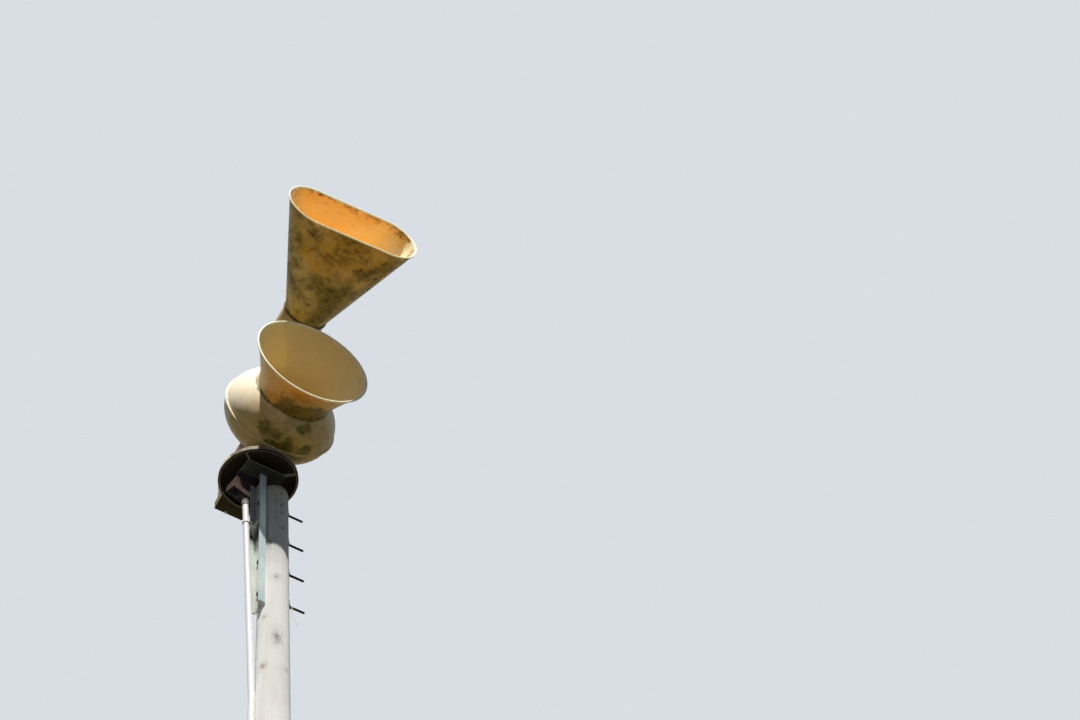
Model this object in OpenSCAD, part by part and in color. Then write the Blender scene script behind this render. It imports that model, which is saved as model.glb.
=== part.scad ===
// Civil defence siren with two horns on a turning head, on top of a timber pole.
// X runs along the through bolts, +X towards their nuts. The pole stands on the
// origin and +Z is up. The head looks towards -Y when its turn is zero.

/* [Pole] */
// Height of the pole above the ground
pole_h = 13255; // [9000:5:15000]
// Diameter of the pole at its top
pole_top_d = 250; // [240:5:300]
// Diameter of the pole at the ground
pole_foot_d = 340; // [320:5:420]
// Radius worn on the pole's top edge
pole_crown_r = 30; // [10:5:50]
// Depth of the flat seat cut for the channel, at the pole's top
dap_depth = 7; // [4:1:20]
// Length of the flat seat that shows below the channel
dap_extra = 85; // [20:5:200]

/* [Mounting channel] */
// Length of the channel
channel_l = 1565; // [1200:5:2200]
// Width over the flanges
channel_w = 160; // [130:5:200]
// Depth of the flanges
channel_depth = 60; // [50:1:100]
// Thickness of web and flanges
channel_t = 9; // [6:1:14]

/* [Through bolts] */
// Diameter of the through bolts
bolt_d = 20; // [16:1:27]
// Number of through bolts
bolt_count = 4; // [4]
// First bolt below the top plate
bolt_drop = 284; // [200:1:330]
// Last bolt above the channel's lower end
bolt_end = 162; // [120:1:260]
// Length of bolt that stands out past its nut
bolt_tail = 140; // [40:5:220]
// Side of the square bolt head and nut
nut_side = 34; // [30:1:44]
// Thickness of the square bolt head and nut
nut_t = 16; // [12:1:24]
// Side of the square washer
washer_side = 70; // [50:5:90]
// Thickness of the square washer
washer_t = 6; // [4:1:10]
// Room round a bolt in its holes, on the diameter
bolt_room = 2; // [1:0.5:4]

/* [Top plate and spokes] */
// Gap between the pole's top and the plate
plate_gap = 95; // [20:5:150]
// Length of the plate along the bolts
plate_l = 370; // [330:5:420]
// Width of the plate across the bolts
plate_w = 306; // [290:2:330]
// Thickness of the plate
plate_t = 12; // [8:1:20]
// Length of the corner cut off beside the gear box, along the bolts
plate_cut_l = 199; // [100:1:210]
// Width of the corner cut off beside the gear box, across the bolts
plate_cut_w = 118; // [60:1:120]
// Distance of the turning axis from the pole's middle
axis_offset = 150; // [140:1:170]
// Thickness of the spokes that hold the hood
spoke_t = 8; // [5:1:14]
// Height of the spokes
spoke_h = 30; // [20:1:40]

/* [Hood] */
// Outer radius of the hood
hood_r = 335; // [320:1:360]
// Height of the hood's straight skirt
hood_skirt_h = 60; // [50:1:70]
// Rise of the hood's sloping top
hood_rise = 50; // [30:5:55]
// Radius of the hood's flat crown
hood_crown_r = 175; // [160:5:200]
// Thickness of the hood
hood_t = 5; // [3:1:7]
// Radius of the rolled bead at the hood's rim
hood_bead_r = 10; // [5:0.5:12]
// How far the bead stands out past the skirt
hood_bead_out = 3; // [1:0.5:6]

/* [Bearing] */
// Radius of the bearing housing below the hood
bearing_r = 114; // [110:1:117]
// Radius of the bearing housing where it passes through the hood
bearing_neck_r = 100; // [80:1:106]
// Radius of the bearing housing's foot flange
bearing_foot_r = 150; // [145:1:155]
// Thickness of the foot flange
bearing_foot_t = 14; // [10:1:20]
// Height of the neck above the hood
bearing_stand = 15; // [10:1:20]
// Radius of the turning shaft
shaft_r = 40; // [25:1:50]
// Room round the turning shaft
shaft_room = 1; // [0.5:0.5:3]
// Gap between the turntable and the bearing below it
turn_gap = 6; // [5:1:12]

/* [Gear box] */
// Length of the gear box across the hood
gearbox_w = 250; // [200:2:260]
// Length of the gear box towards the hood's edge
gearbox_l = 104; // [90:1:105]
// Height of the gear box at its inner edge
gearbox_h = 88; // [60:1:88]
// Height of the gear box at its outer edge
gearbox_edge_h = 50; // [30:1:50]
// How far the gear box's outer edge lies inside its foot
gearbox_edge_lean = 22; // [15:1:58]
// How far the gear box's top leans inward past its foot
gearbox_lean = 58; // [0:1:58]
// How far the gear box's top leans sideways past its foot
gearbox_side_lean = 15; // [0:1:20]
// Turn of the gear box from the plate's edges
gearbox_turn = 13; // [0:1:16]
// Distance of the gear box's inner corner behind the turning axis
gearbox_back = 149; // [145:1:170]
// Distance of the gear box's inner corner beside the turning axis
gearbox_side = 149; // [120:1:160]
// Gap between the plate's underside and the gear box's
gearbox_lift = 4; // [0:1:12]
// Width of the outer box at its far end
outer_box_w = 268; // [200:2:300]
// Spread of the outer box's sides towards the hood, on its length
outer_box_spread = 0.12; // [0:0.01:0.2]
// Distance of the outer box's far end behind the turning axis
outer_box_back = 450; // [420:5:480]
// Distance of the outer box's middle beside the turning axis
outer_box_side = 28; // [0:1:60]
// Height of the outer box
outer_box_h = 86; // [60:1:90]
// Thickness of the outer box's lid
lid_t = 4; // [3:1:8]
// Gap between the hood and the pieces beside it
hood_gap = 1; // [0.5:0.5:3]

/* [Conduit] */
// Outer diameter of the conduit
conduit_d = 50; // [42:1:60]
// Direction of the conduit from the pole's middle, 180 being the channel's side
conduit_angle = 174.5; // [172:0.5:188]
// Gap between the conduit and the pole
conduit_gap = 9; // [8:1:16]
// Distance below the channel at which the conduit comes to lie on the pole
conduit_knee_drop = 970; // [700:10:1600]
// Distance of the conduit's top below the top plate
conduit_top_drop = 350; // [300:5:420]
// Gap between the leaning conduit and the channel's flanges
conduit_clear = 5; // [4:0.5:12]
// Place of the lead under the gear box, across from its inner corner
lead_across = 40; // [30:1:80]
// Place of the lead under the gear box, out from its inner corner
lead_out = 40; // [30:1:60]
// Radius of the flexible lead from the conduit to the gear box
lead_r = 12; // [8:1:18]
// Radius of the connector at the conduit's top
connector_r = 31; // [30:1:40]
// Length of the connector
connector_l = 26; // [20:1:50]
// Length of the coupling where the conduit comes to lie on the pole
coupling_l = 90; // [60:5:120]
// Thickness of that coupling
coupling_t = 4; // [2:0.5:6]
// Room round the conduit in its straps and clip
strap_room = 1; // [0.5:0.5:2]
// Gap between the conduit's lower end and the ground
conduit_lift = 5; // [2:1:30]
// Width of the straps along the conduit
strap_w = 32; // [20:1:50]
// Thickness of the straps
strap_t = 3; // [2:0.5:5]
// Length of each strap's foot on the pole
strap_foot = 34; // [25:1:50]
// Height of the lowest strap
strap_first = 900; // [500:50:1500]
// Drop from the conduit's knee to the last strap
strap_last_drop = 600; // [300:10:900]
// Distance of the clip on the channel below the top plate
clip_drop = 600; // [520:5:900]
// Thickness of the clip
clip_t = 6; // [4:1:10]
// Height of the clip on the channel
clip_h = 14; // [10:1:32]
// Width of the arm between the clip's bar and its ring
clip_arm = 24; // [16:1:40]

/* [Turntable and motor base] */
// Turn of the head from straight ahead, when it is parked
head_turn = -5.5; // [-30:0.5:30]
// Radius of the turntable
turntable_r = 150; // [140:1:160]
// Thickness of the turntable
turntable_t = 16; // [12:1:22]
// Width of the plate that carries the motor base
base_plate_w = 300; // [240:5:360]
// Thickness of the plate that carries the motor base
base_plate_t = 20; // [12:1:24]
// Gap of the shims between turntable and plate
shim_gap = 0.3; // [0.1:0.1:1]
// Width of the motor base
base_w = 474; // [400:2:500]
// Height of the motor base
base_h = 230; // [180:5:240]
// Radius of the motor base's upright corners
base_corner_r = 30; // [10:5:60]
// Distance of the motor base's back behind the ball's middle
base_back = 763; // [700:1:780]
// Width of the saddles under the motor
saddle_w = 300; // [240:5:340]
// Thickness of the saddles
saddle_t = 40; // [20:5:60]

/* [Ball housing] */
// Gap between the hood's top and the seam's flange, which passes over it
ball_clear = 12; // [8:1:40]
// Distance of the ball's middle ahead of the turning axis
ball_ahead = 275; // [250:1:310]
// Distance of the horns' line beside the turning axis
head_side = 70; // [0:1:80]
// Radius of the ball across the horns' line
ball_r = 505; // [470:1:520]
// Half length of the ball along the horns' line
ball_half_l = 345; // [320:1:360]
// Thickness of the moulded shells
shell_t = 8; // [5:1:12]
// Height of the seam's flange
seam_h = 14; // [8:1:20]
// Width of the seam's flange
seam_w = 22; // [14:1:30]

/* [Motor] */
// Radius of the motor's case
motor_r = 177; // [160:1:185]
// Distance of the motor's end behind the ball's middle
motor_back = 690; // [600:5:820]
// Length of the motor's rounded end cap
motor_cap_l = 70; // [50:5:110]
// Radius of the round on the motor's end cap
motor_cap_round = 45; // [20:5:50]

/* [Lower horn] */
// Radius of the lower horn's mouth
lower_mouth_r = 520; // [480:5:560]
// Distance of the lower horn's mouth ahead of the ball's middle
lower_mouth_ahead = 645; // [600:5:720]
// Radius of the lower horn where it leaves the ball
lower_throat_r = 330; // [290:5:350]
// Curve of the lower horn's flare, 1 being a straight cone
lower_flare = 1.3; // [1:0.05:1.8]
// Depth of the horn's spigot inside the ball
spigot_l = 290; // [200:5:320]
// Radius of the spigot at its inner end
spigot_r = 270; // [220:5:300]
// Radius of the bead round both horns' mouths
lip_r = 9; // [6:0.5:14]
// Thickness of the stator plate in the throat
stator_t = 20; // [12:1:30]
// Number of ports in the stator plate
port_count = 8; // [6:1:12]

/* [Upper horn] */
// Width of the upper horn's mouth
upper_mouth_w = 1270; // [1150:2:1350]
// Height of the upper horn's mouth
upper_mouth_h = 594; // [520:2:640]
// Distance of the upper horn's mouth ahead of the ball's middle
upper_mouth_ahead = 1480; // [1300:5:1600]
// Height of the upper horn's mouth above the ball's middle
upper_mouth_up = 1067; // [1040:1:1120]
// Gap between the riser and the lower horn's joint with the ball
riser_gap = 11; // [5:1:60]
// Outer radius of the duct and the horn's throat
duct_r = 200; // [180:1:215]
// Height of the duct above the ball's middle
duct_up = 920; // [905:1:960]
// Radius of the duct's bend
duct_bend_r = 280; // [250:5:330]
// Distance of the upper horn's throat ahead of the ball's middle
upper_throat_ahead = 500; // [420:5:560]
// Length of the collar between duct and horn
collar_l = 24; // [16:1:40]
// Height of the collar above the duct
collar_h = 10; // [6:1:16]
// Thickness of the collar round the riser's foot
riser_collar_t = 22; // [15:1:35]
// Gap between that collar and the lower horn
riser_collar_gap = 1; // [0.5:0.5:4]
// Height of the ball's top above that collar
riser_collar_drop = 20; // [5:1:30]

/* [Hidden] */
$fn = 96;
eps = 0.01;
steps = 16;
round_steps = 6;
strap_count = 4;

// Heights on the pole, from the ground up
plate_z = pole_h + plate_gap;
plate_top = plate_z + plate_t;
channel_foot = plate_z - channel_l;
hood_foot = plate_top - 2 * hood_bead_r;
hood_shoulder = hood_foot + hood_skirt_h;
hood_top = hood_shoulder + hood_rise;
hood_bead_mid = hood_r + hood_bead_out - hood_bead_r;
neck_top = hood_top + bearing_stand;
turntable_z = neck_top + turn_gap;
turntable_top = turntable_z + turntable_t;
ball_z = hood_top + ball_clear + seam_h + ball_r;
base_z = turntable_top + shim_gap + base_plate_t - ball_z;
base_front = ball_half_l * sqrt(1 - pow((base_z + base_h) / ball_r, 2)) + 5;

// Places across the pole
function pole_r(z) = (pole_foot_d + (pole_top_d - pole_foot_d) * z / pole_h) / 2;
dap_x = pole_top_d / 2 - dap_depth;
hanger_w = 60;
hanger_share = 0.84;
web_x = dap_x + channel_t;
bolt_hole_d = bolt_d + bolt_room;
bolt_pitch = (channel_l - bolt_drop - bolt_end) / (bolt_count - 1);
function bolt_z(i) = plate_z - bolt_drop - i * bolt_pitch;
function seat_x(z) = sqrt(pow(pole_r(z), 2) - pow(washer_side / 2, 2));

// Conduit: up the pole on the channel's side, then a straight leaning length past the flanges
function on_pole(z) = let (d = pole_r(z) + conduit_d / 2 + conduit_gap)
    [d * cos(conduit_angle), d * sin(conduit_angle), z];
gearbox_z = plate_z + gearbox_lift;
function on_gearbox(u, v) = [-axis_offset - gearbox_side + u * cos(gearbox_turn) - v * sin(gearbox_turn),
                             gearbox_back + u * sin(gearbox_turn) + v * cos(gearbox_turn)];
conduit_end = 3;
conduit_knee = on_pole(channel_foot - conduit_knee_drop);
conduit_foot = on_pole(conduit_lift);
conduit_pass = [-dap_x - channel_depth - conduit_clear - conduit_d / 2, conduit_knee.y, channel_foot];
conduit_share = (channel_l - conduit_top_drop) / conduit_knee_drop;
conduit_top = conduit_pass + (conduit_pass - conduit_knee) * conduit_share;
strap_last = conduit_knee.z - strap_last_drop;
function strap_z(i) = strap_first + i * (strap_last - strap_first) / (strap_count - 1);

// Head, with the ball's middle as its own origin
lower_join = ball_half_l * sqrt(1 - pow(lower_throat_r / ball_r, 2));
riser_ahead = lower_join - riser_gap - duct_r;
upper_r = upper_mouth_h / 2;
upper_half_flat = (upper_mouth_w - upper_mouth_h) / 2;
horn_start = upper_throat_ahead + collar_l;
riser_top = duct_up - duct_bend_r;
riser_foot = ball_r * 0.6;

steel = "#8d9a9c";
dark_steel = "#3a3a3c";
timber = "#cfccc4";
fibreglass = "#b59a63";
brown_paint = "#6d4c44";
grey_paint = "#8b8084";
pvc = "#e9e9e6";

// A point between two points
function between(a, b, t) = a + (b - a) * t;

// Half an ellipse's outline, radius first, from ahead to behind
function half_oval(r, l, from, to) = [for (i = [0 : steps])
    let (a = from + (to - from) * i / steps) [r * sin(a), l * cos(a)]];

// Outline of a tube's cross section
module ring_2d(outer, inner) {
    difference() {
        circle(outer);
        circle(inner);
    }
}

// Turns a profile of radius and forward distance about the horns' line
module about_horn_line() {
    rotate([90, 0, 0]) rotate_extrude() children();
}

// A bar of round section between two points
module rod(a, b, r) {
    d = b - a;
    l = norm(d);
    translate(a)
        rotate([0, acos(d.z / l), atan2(d.y, d.x)])
            cylinder(r = r, h = l);
}

// Moves pieces of the head from the ball's middle to their place on the turning axis
module on_head() {
    translate([-axis_offset, 0, 0])
        rotate([0, 0, head_turn])
            translate([head_side, -ball_ahead, ball_z])
                children();
}

// Moves pieces that are centred on the turning axis
module on_axis(z) {
    translate([-axis_offset, 0, z]) children();
}

// The ball as one solid, with the same outline as its two shells
module ball_solid() {
    about_horn_line()
        polygon(concat(half_oval(ball_r, ball_half_l, 0, 90),
                       [for (i = [1 : steps]) half_oval(ball_r, ball_half_l, 90, 180)[i]]));
}

module pole_shaft() {
    top_r = pole_top_d / 2;
    crown_r = pole_r(pole_h - pole_crown_r);
    color(timber)
    difference() {
        rotate_extrude()
            polygon(concat([[0, 0], [pole_foot_d / 2, 0], [crown_r, pole_h - pole_crown_r]],
                [for (i = [1 : round_steps]) let (a = 90 * i / round_steps)
                    [top_r - pole_crown_r * (1 - cos(a)), pole_h - pole_crown_r * (1 - sin(a))]],
                [[0, pole_h]]));
        translate([-pole_foot_d - dap_x, -pole_foot_d, channel_foot - dap_extra])
            cube([pole_foot_d, 2 * pole_foot_d, pole_h]);
        for (i = [0 : bolt_count - 1])
            translate([0, 0, bolt_z(i)]) {
                rotate([0, 90, 0])
                    cylinder(d = bolt_hole_d, h = 2 * pole_foot_d, center = true);
                translate([seat_x(bolt_z(i)), 0, 0])
                    rotate([0, 90, 0])
                        cylinder(r = washer_side * 0.75, h = pole_foot_d);
            }
    }
}

module mounting_channel() {
    color(steel)
    difference() {
        translate([-dap_x - channel_depth, -channel_w / 2, channel_foot])
            cube([channel_depth, channel_w, channel_l]);
        translate([-dap_x - channel_depth - 1, channel_t - channel_w / 2, channel_foot - 1])
            cube([channel_depth - channel_t + 1, channel_w - 2 * channel_t, channel_l + 2]);
        for (i = [0 : bolt_count - 1])
            translate([-dap_x, 0, bolt_z(i)])
                rotate([0, 90, 0])
                    cylinder(d = bolt_hole_d, h = 4 * channel_t, center = true);
    }
}

module top_plate() {
    l = plate_l / 2;
    w = plate_w / 2;
    color(steel)
    on_axis(plate_z)
        linear_extrude(plate_t)
            polygon([[-l, -w], [l, -w], [l, w], [plate_cut_l - l, w], [-l, w - plate_cut_w]]);
}

module through_bolt(i) {
    z = bolt_z(i);
    tip_x = seat_x(z) + washer_t + nut_t + bolt_tail;
    color(dark_steel)
    union() {
        translate([-web_x - nut_t, -nut_side / 2, z - nut_side / 2])
            cube([nut_t, nut_side, nut_side]);
        translate([-web_x - eps, 0, z])
            rotate([0, 90, 0])
                cylinder(d = bolt_d, h = web_x + tip_x);
    }
}

module bolt_nut(i) {
    z = bolt_z(i);
    color(dark_steel)
    translate([seat_x(z), 0, z])
        difference() {
            union() {
                translate([0, -washer_side / 2, -washer_side / 2])
                    cube([washer_t, washer_side, washer_side]);
                translate([washer_t - eps, -nut_side / 2, -nut_side / 2])
                    cube([nut_t, nut_side, nut_side]);
            }
            rotate([0, 90, 0])
                cylinder(d = bolt_d + bolt_room / 2, h = 3 * (washer_t + nut_t), center = true);
        }
}

// A flat bar on edge from one of the plate's three full corners to the inside of the hood
module spoke(i) {
    sx = i == 0 ? -1 : 1;
    sy = (i < 2) ? -1 : 1;
    corner = norm([plate_l, plate_w]) / 2;
    inside = hood_r - hood_t;
    color(steel)
    on_axis(plate_top)
        rotate([0, 0, atan2(sy * plate_w, sx * plate_l)])
            intersection() {
                translate([corner - 50, -spoke_t / 2, 0])
                    cube([inside - corner + 60, spoke_t, spoke_h]);
                cylinder(r = inside, h = spoke_h);
            }
}

module bearing_housing() {
    body_h = hood_top - hood_t - plate_top;
    color(grey_paint)
    on_axis(plate_top)
        difference() {
            rotate_extrude()
                polygon([[0, 0], [bearing_foot_r, 0], [bearing_foot_r, bearing_foot_t],
                         [bearing_r, bearing_foot_t], [bearing_r, body_h],
                         [bearing_neck_r, body_h], [bearing_neck_r, neck_top - plate_top],
                         [0, neck_top - plate_top]]);
            translate([0, 0, bearing_foot_t])
                cylinder(r = shaft_r + shaft_room, h = neck_top - plate_top);
        }
}

module hood() {
    slope = [hood_crown_r - hood_r, hood_rise];
    across = hood_t * [slope.y, -slope.x] / norm(slope);
    color(fibreglass)
    on_axis(0)
        rotate_extrude() {
            polygon([[hood_r, hood_foot + hood_bead_r],
                     [hood_r, hood_shoulder],
                     [hood_crown_r, hood_top],
                     [bearing_neck_r + hood_gap, hood_top],
                     [bearing_neck_r + hood_gap, hood_top - hood_t],
                     [hood_crown_r - across.x, hood_top - hood_t],
                     [hood_r - hood_t, hood_shoulder - hood_t * 0.6],
                     [hood_r - hood_t, hood_foot + hood_bead_r]]);
            translate([hood_bead_mid, hood_foot + hood_bead_r])
                circle(hood_bead_r, $fn = 24);
        }
}

// Slanting casting under the hood that turns the head: its top leans over its foot
module gearbox() {
    function point(u, v, h) = let (q = on_gearbox(u, v)) [q.x, q.y, gearbox_z + h];
    side = gearbox_side_lean * gearbox_edge_h / gearbox_h;
    top_l = gearbox_l - gearbox_edge_lean;
    color(brown_paint)
        polyhedron([point(0, 0, 0), point(gearbox_w, 0, 0), point(gearbox_w, gearbox_l, 0), point(0, gearbox_l, 0),
                    point(-gearbox_side_lean, -gearbox_lean, gearbox_h), point(gearbox_w, -gearbox_lean, gearbox_h),
                    point(gearbox_w, top_l, gearbox_edge_h), point(-side, top_l, gearbox_edge_h)],
                   [[0, 1, 2, 3], [7, 6, 5, 4], [0, 4, 5, 1], [1, 5, 6, 2], [2, 6, 7, 3], [3, 7, 4, 0]]);
}

// Lug that carries the gear box on the top plate's edge
module gearbox_hanger() {
    q = on_gearbox(gearbox_w * hanger_share, 0);
    lean = gearbox_lean * (plate_top - gearbox_z) / gearbox_h / cos(gearbox_turn);
    color(steel)
    translate([q.x - hanger_w / 2, plate_w / 2, plate_z])
        cube([hanger_w, q.y - plate_w / 2 - hanger_w / 2 * tan(gearbox_turn) - lean - hood_gap, plate_t]);
}

// Outline of the outer box seen from above, its sides spreading towards the hood
module outer_box_plan(edge = 0) {
    mx = -axis_offset - outer_box_side;
    far = outer_box_back - edge;
    near = axis_offset;
    spread = (far - near) * outer_box_spread;
    half = outer_box_w / 2 - edge;
    difference() {
        polygon([[mx - half, far], [mx - half - spread, near], [mx + half + spread, near], [mx + half, far]]);
        translate([-axis_offset, 0]) circle(hood_r + hood_bead_out + hood_gap + edge);
    }
}

module outer_box() {
    color(brown_paint)
    translate([0, 0, gearbox_z])
        linear_extrude(outer_box_h - lid_t)
            outer_box_plan();
}

// Lid on top of the outer box
module outer_box_lid() {
    color(brown_paint)
    translate([0, 0, gearbox_z + outer_box_h - lid_t])
        linear_extrude(lid_t)
            outer_box_plan(lid_t);
}

// Length of conduit up the pole's side
module conduit_pole_run() {
    color(pvc)
        rod(conduit_foot, between(conduit_knee, conduit_foot, conduit_end / conduit_knee.z), conduit_d / 2);
}

// Length of conduit that leans out past the channel's flanges
module conduit_top_run() {
    part = conduit_end / norm(conduit_top - conduit_knee);
    color(pvc)
        rod(between(conduit_knee, conduit_top, part), between(conduit_top, conduit_knee, part), conduit_d / 2);
}

// Sleeve over the joint of the two lengths
module conduit_coupling() {
    d = (conduit_top - conduit_knee) / norm(conduit_top - conduit_knee)
        + (conduit_knee - conduit_foot) / norm(conduit_knee - conduit_foot);
    lean = asin(norm([d.x, d.y]) / norm(d));
    bore = conduit_d / 2 + strap_room + coupling_l / 2 * sin(lean);
    color(pvc)
    translate(conduit_knee)
        rotate([0, lean, atan2(d.y, d.x)])
            translate([0, 0, -coupling_l / 2])
                linear_extrude(coupling_l) ring_2d(bore + coupling_t, bore);
}

module conduit_connector() {
    color(steel)
    translate(conduit_top)
        rotate_extrude()
            polygon(concat([[0, 0]],
                [for (i = [0 : round_steps]) let (a = 90 * i / round_steps)
                    [connector_r - 8 * (1 - sin(a)), 8 * (1 - cos(a))]],
                [[connector_r, connector_l], [0, connector_l]]));
}

// Flexible lead in two equal bends from the connector up to the gear box's foot
module conduit_lead() {
    foot = conduit_top + [0, 0, connector_l];
    way = on_gearbox(lead_across, lead_out) - [foot.x, foot.y];
    rise = gearbox_z - foot.z;
    turn = 2 * atan2(norm(way), rise);
    bend = rise / (2 * sin(turn));
    color(dark_steel)
    translate(foot)
        rotate([90, 0, atan2(way.y, way.x)]) {
            translate([bend, 0])
                rotate([0, 0, 180 - turn])
                    rotate_extrude(angle = turn)
                        translate([bend, 0]) circle(lead_r);
            translate([norm(way) - bend, rise])
                rotate([0, 0, -turn - eps])
                    rotate_extrude(angle = turn + eps)
                        translate([bend, 0]) circle(lead_r);
        }
}

// Flat bar across the channel's flanges with a block that holds the leaning conduit
module conduit_clip() {
    z = plate_z - clip_drop;
    t = (z - conduit_knee.z) / (conduit_top.z - conduit_knee.z);
    c = between(conduit_knee, conduit_top, t);
    back_x = -dap_x - channel_depth;
    r = conduit_d / 2 + strap_room;
    half = r + clip_t;
    color(steel)
    translate([0, 0, z - clip_h / 2])
        difference() {
            union() {
                translate([back_x - clip_t, -channel_w / 2, 0])
                    cube([clip_t, channel_w, clip_h]);
                translate([c.x, c.y - clip_arm / 2, 0])
                    cube([back_x - clip_t / 2 - c.x, clip_arm, clip_h]);
                translate([c.x, c.y, 0]) cylinder(r = half, h = clip_h);
            }
            translate([c.x, c.y, clip_h / 2])
                rotate([0, atan2(conduit_top.x - conduit_knee.x, conduit_top.z - conduit_knee.z), 0])
                    cylinder(r = r, h = 4 * clip_h, center = true);
        }
}

// A strap with two feet that holds the conduit to the pole
module conduit_strap(i) {
    z = strap_z(i);
    c = on_pole(z);
    r = conduit_d / 2 + strap_room;
    pr = pole_r(z) + strap_room;
    half = r + strap_t + strap_foot;
    color(steel)
    rotate([0, 0, conduit_angle])
        translate([0, 0, z - strap_w / 2])
            difference() {
                union() {
                    translate([norm([c.x, c.y]), 0, 0]) cylinder(r = r + strap_t, h = strap_w);
                    translate([pr * 0.75, -r - strap_t, 0])
                        cube([norm([c.x, c.y]) - pr * 0.75, 2 * (r + strap_t), strap_w]);
                    intersection() {
                        cylinder(r = pr + strap_t, h = strap_w);
                        translate([pr * 0.6, -half, 0])
                            cube([pr, 2 * half, strap_w]);
                    }
                }
                translate([norm([c.x, c.y]), 0, -1]) cylinder(r = r, h = strap_w + 2);
                translate([pr * 0.5, -r, -1])
                    cube([norm([c.x, c.y]) - pr * 0.5, 2 * r, strap_w + 2]);
                translate([0, 0, -1]) cylinder(r = pr, h = strap_w + 2);
            }
}

module turning_shaft() {
    gap = 4;
    color(dark_steel)
    on_axis(plate_top + bearing_foot_t + gap)
        cylinder(r = shaft_r, h = turntable_z - plate_top - bearing_foot_t - gap);
}

module turntable() {
    color(grey_paint)
    on_axis(turntable_z)
        cylinder(r = turntable_r, h = turntable_t);
}

module base_plate() {
    front = ball_ahead - turntable_r * 0.8;
    color(grey_paint)
    on_head()
        translate([-base_plate_w / 2, front, base_z - base_plate_t])
            cube([base_plate_w, base_back - front, base_plate_t]);
}

// Box that the motor stands on, with round upright corners
module motor_base() {
    r = base_corner_r;
    l = base_back - base_front;
    color(grey_paint)
    on_head()
        translate([0, base_front + l / 2, base_z])
            linear_extrude(base_h) {
                square([base_w, l - 2 * r], center = true);
                square([base_w - 2 * r, l], center = true);
                for (x = [-1, 1]) for (y = [-1, 1])
                    translate([x * (base_w / 2 - r), y * (l / 2 - r)]) circle(r);
            }
}

// A plate cut to the motor's round, at a share of the base's length
module saddle(share) {
    color(grey_paint)
    on_head()
        difference() {
            translate([-saddle_w / 2, base_front + (base_back - base_front) * share, base_z + base_h])
                cube([saddle_w, saddle_t, -base_z - base_h - motor_r * 0.55]);
            rotate([-90, 0, 0]) cylinder(r = motor_r, h = 2 * motor_back);
        }
}

module motor_case() {
    color(grey_paint)
    on_head()
        difference() {
            translate([0, ball_half_l * 0.8, 0])
                rotate([-90, 0, 0])
                    cylinder(r = motor_r, h = motor_back - ball_half_l * 0.8);
            ball_solid();
        }
}

module motor_end_cap() {
    r = motor_r - 6;
    color(grey_paint)
    on_head()
        translate([0, motor_back, 0])
            rotate([-90, 0, 0])
                rotate_extrude()
                    polygon(concat([[0, 0], [r, 0]],
                        [for (i = [0 : round_steps]) let (a = 90 * i / round_steps)
                            [r - motor_cap_round * (1 - cos(a)),
                             motor_cap_l - motor_cap_round * (1 - sin(a))]],
                        [[0, motor_cap_l]]));
}

// One half of the ball's shell: 1 is the front, -1 the rear
module ball_half(way) {
    from = way > 0 ? 0 : 90;
    to = way > 0 ? 90 : 180;
    about_horn_line()
        difference() {
            polygon(concat([[0, 0]], half_oval(ball_r, ball_half_l, from, to)));
            polygon(concat([[0, 0]], half_oval(ball_r - shell_t, ball_half_l - shell_t, from, to)));
            if (way > 0)
                translate([0, eps]) square([lower_throat_r + 0.5, ball_half_l]);
        }
}

module ball_front() {
    color(fibreglass)
    on_head() ball_half(1);
}

module ball_rear() {
    color(fibreglass)
    on_head() ball_half(-1);
}

module ball_seam() {
    color(fibreglass)
    on_head()
        difference() {
            rotate([90, 0, 0])
                translate([0, 0, -seam_w / 2])
                    linear_extrude(seam_w) ring_2d(ball_r + seam_h, ball_r + eps);
            translate([0, -riser_ahead, riser_foot])
                cylinder(r = duct_r + riser_collar_t + eps, h = ball_r);
        }
}

// Plate with ports at the bottom of the lower horn's throat
module stator_plate() {
    r = spigot_r - shell_t;
    hub_r = r * 0.3;
    color(dark_steel)
    on_head()
        translate([0, spigot_l - lower_join, 0])
            rotate([90, 0, 0])
                difference() {
                    union() {
                        cylinder(r = r, h = stator_t);
                        cylinder(r1 = hub_r, r2 = hub_r * 0.5, h = stator_t * 3);
                    }
                    for (i = [0 : port_count - 1])
                        rotate([0, 0, 360 / port_count * i])
                            translate([hub_r * 1.4, -r * 0.11, -1])
                                cube([r * 0.42, r * 0.22, stator_t + 2]);
                }
}

module lower_horn() {
    function flare(u) = lower_throat_r + (lower_mouth_r - lip_r - lower_throat_r) * pow(u, lower_flare);
    function out(u) = [flare(u), between(lower_join, lower_mouth_ahead - lip_r, u)];
    color(fibreglass)
    on_head()
        about_horn_line() {
            polygon(concat(
                [[spigot_r, lower_join - spigot_l], [lower_throat_r, lower_join - shell_t]],
                [for (i = [0 : steps]) out(i / steps)],
                [for (i = [0 : steps]) out(1 - i / steps) - [shell_t, 0]],
                [[spigot_r - shell_t, lower_join - spigot_l]]));
            translate(out(1)) circle(lip_r, $fn = 24);
        }
}

// Tube that stands up from inside the ball, its seam turned clear of the ball's own edges
module upright_tube(top, outer, inner) {
    translate([0, -riser_ahead, riser_foot])
        rotate([0, 0, 30])
            linear_extrude(top - riser_foot) ring_2d(outer, inner);
}

// Upright collar moulded on top of the ball, round the riser's foot, flat towards the lower horn
module riser_collar() {
    color(fibreglass)
    on_head()
        difference() {
            upright_tube(ball_r - riser_collar_drop, duct_r + riser_collar_t, duct_r + eps);
            ball_solid();
            translate([-ball_r, riser_collar_gap - lower_join - ball_r, 0])
                cube([2 * ball_r, ball_r, ball_r]);
        }
}

module riser_pipe() {
    color(fibreglass)
    on_head()
        difference() {
            upright_tube(riser_top, duct_r, duct_r - shell_t);
            ball_solid();
        }
}

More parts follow.
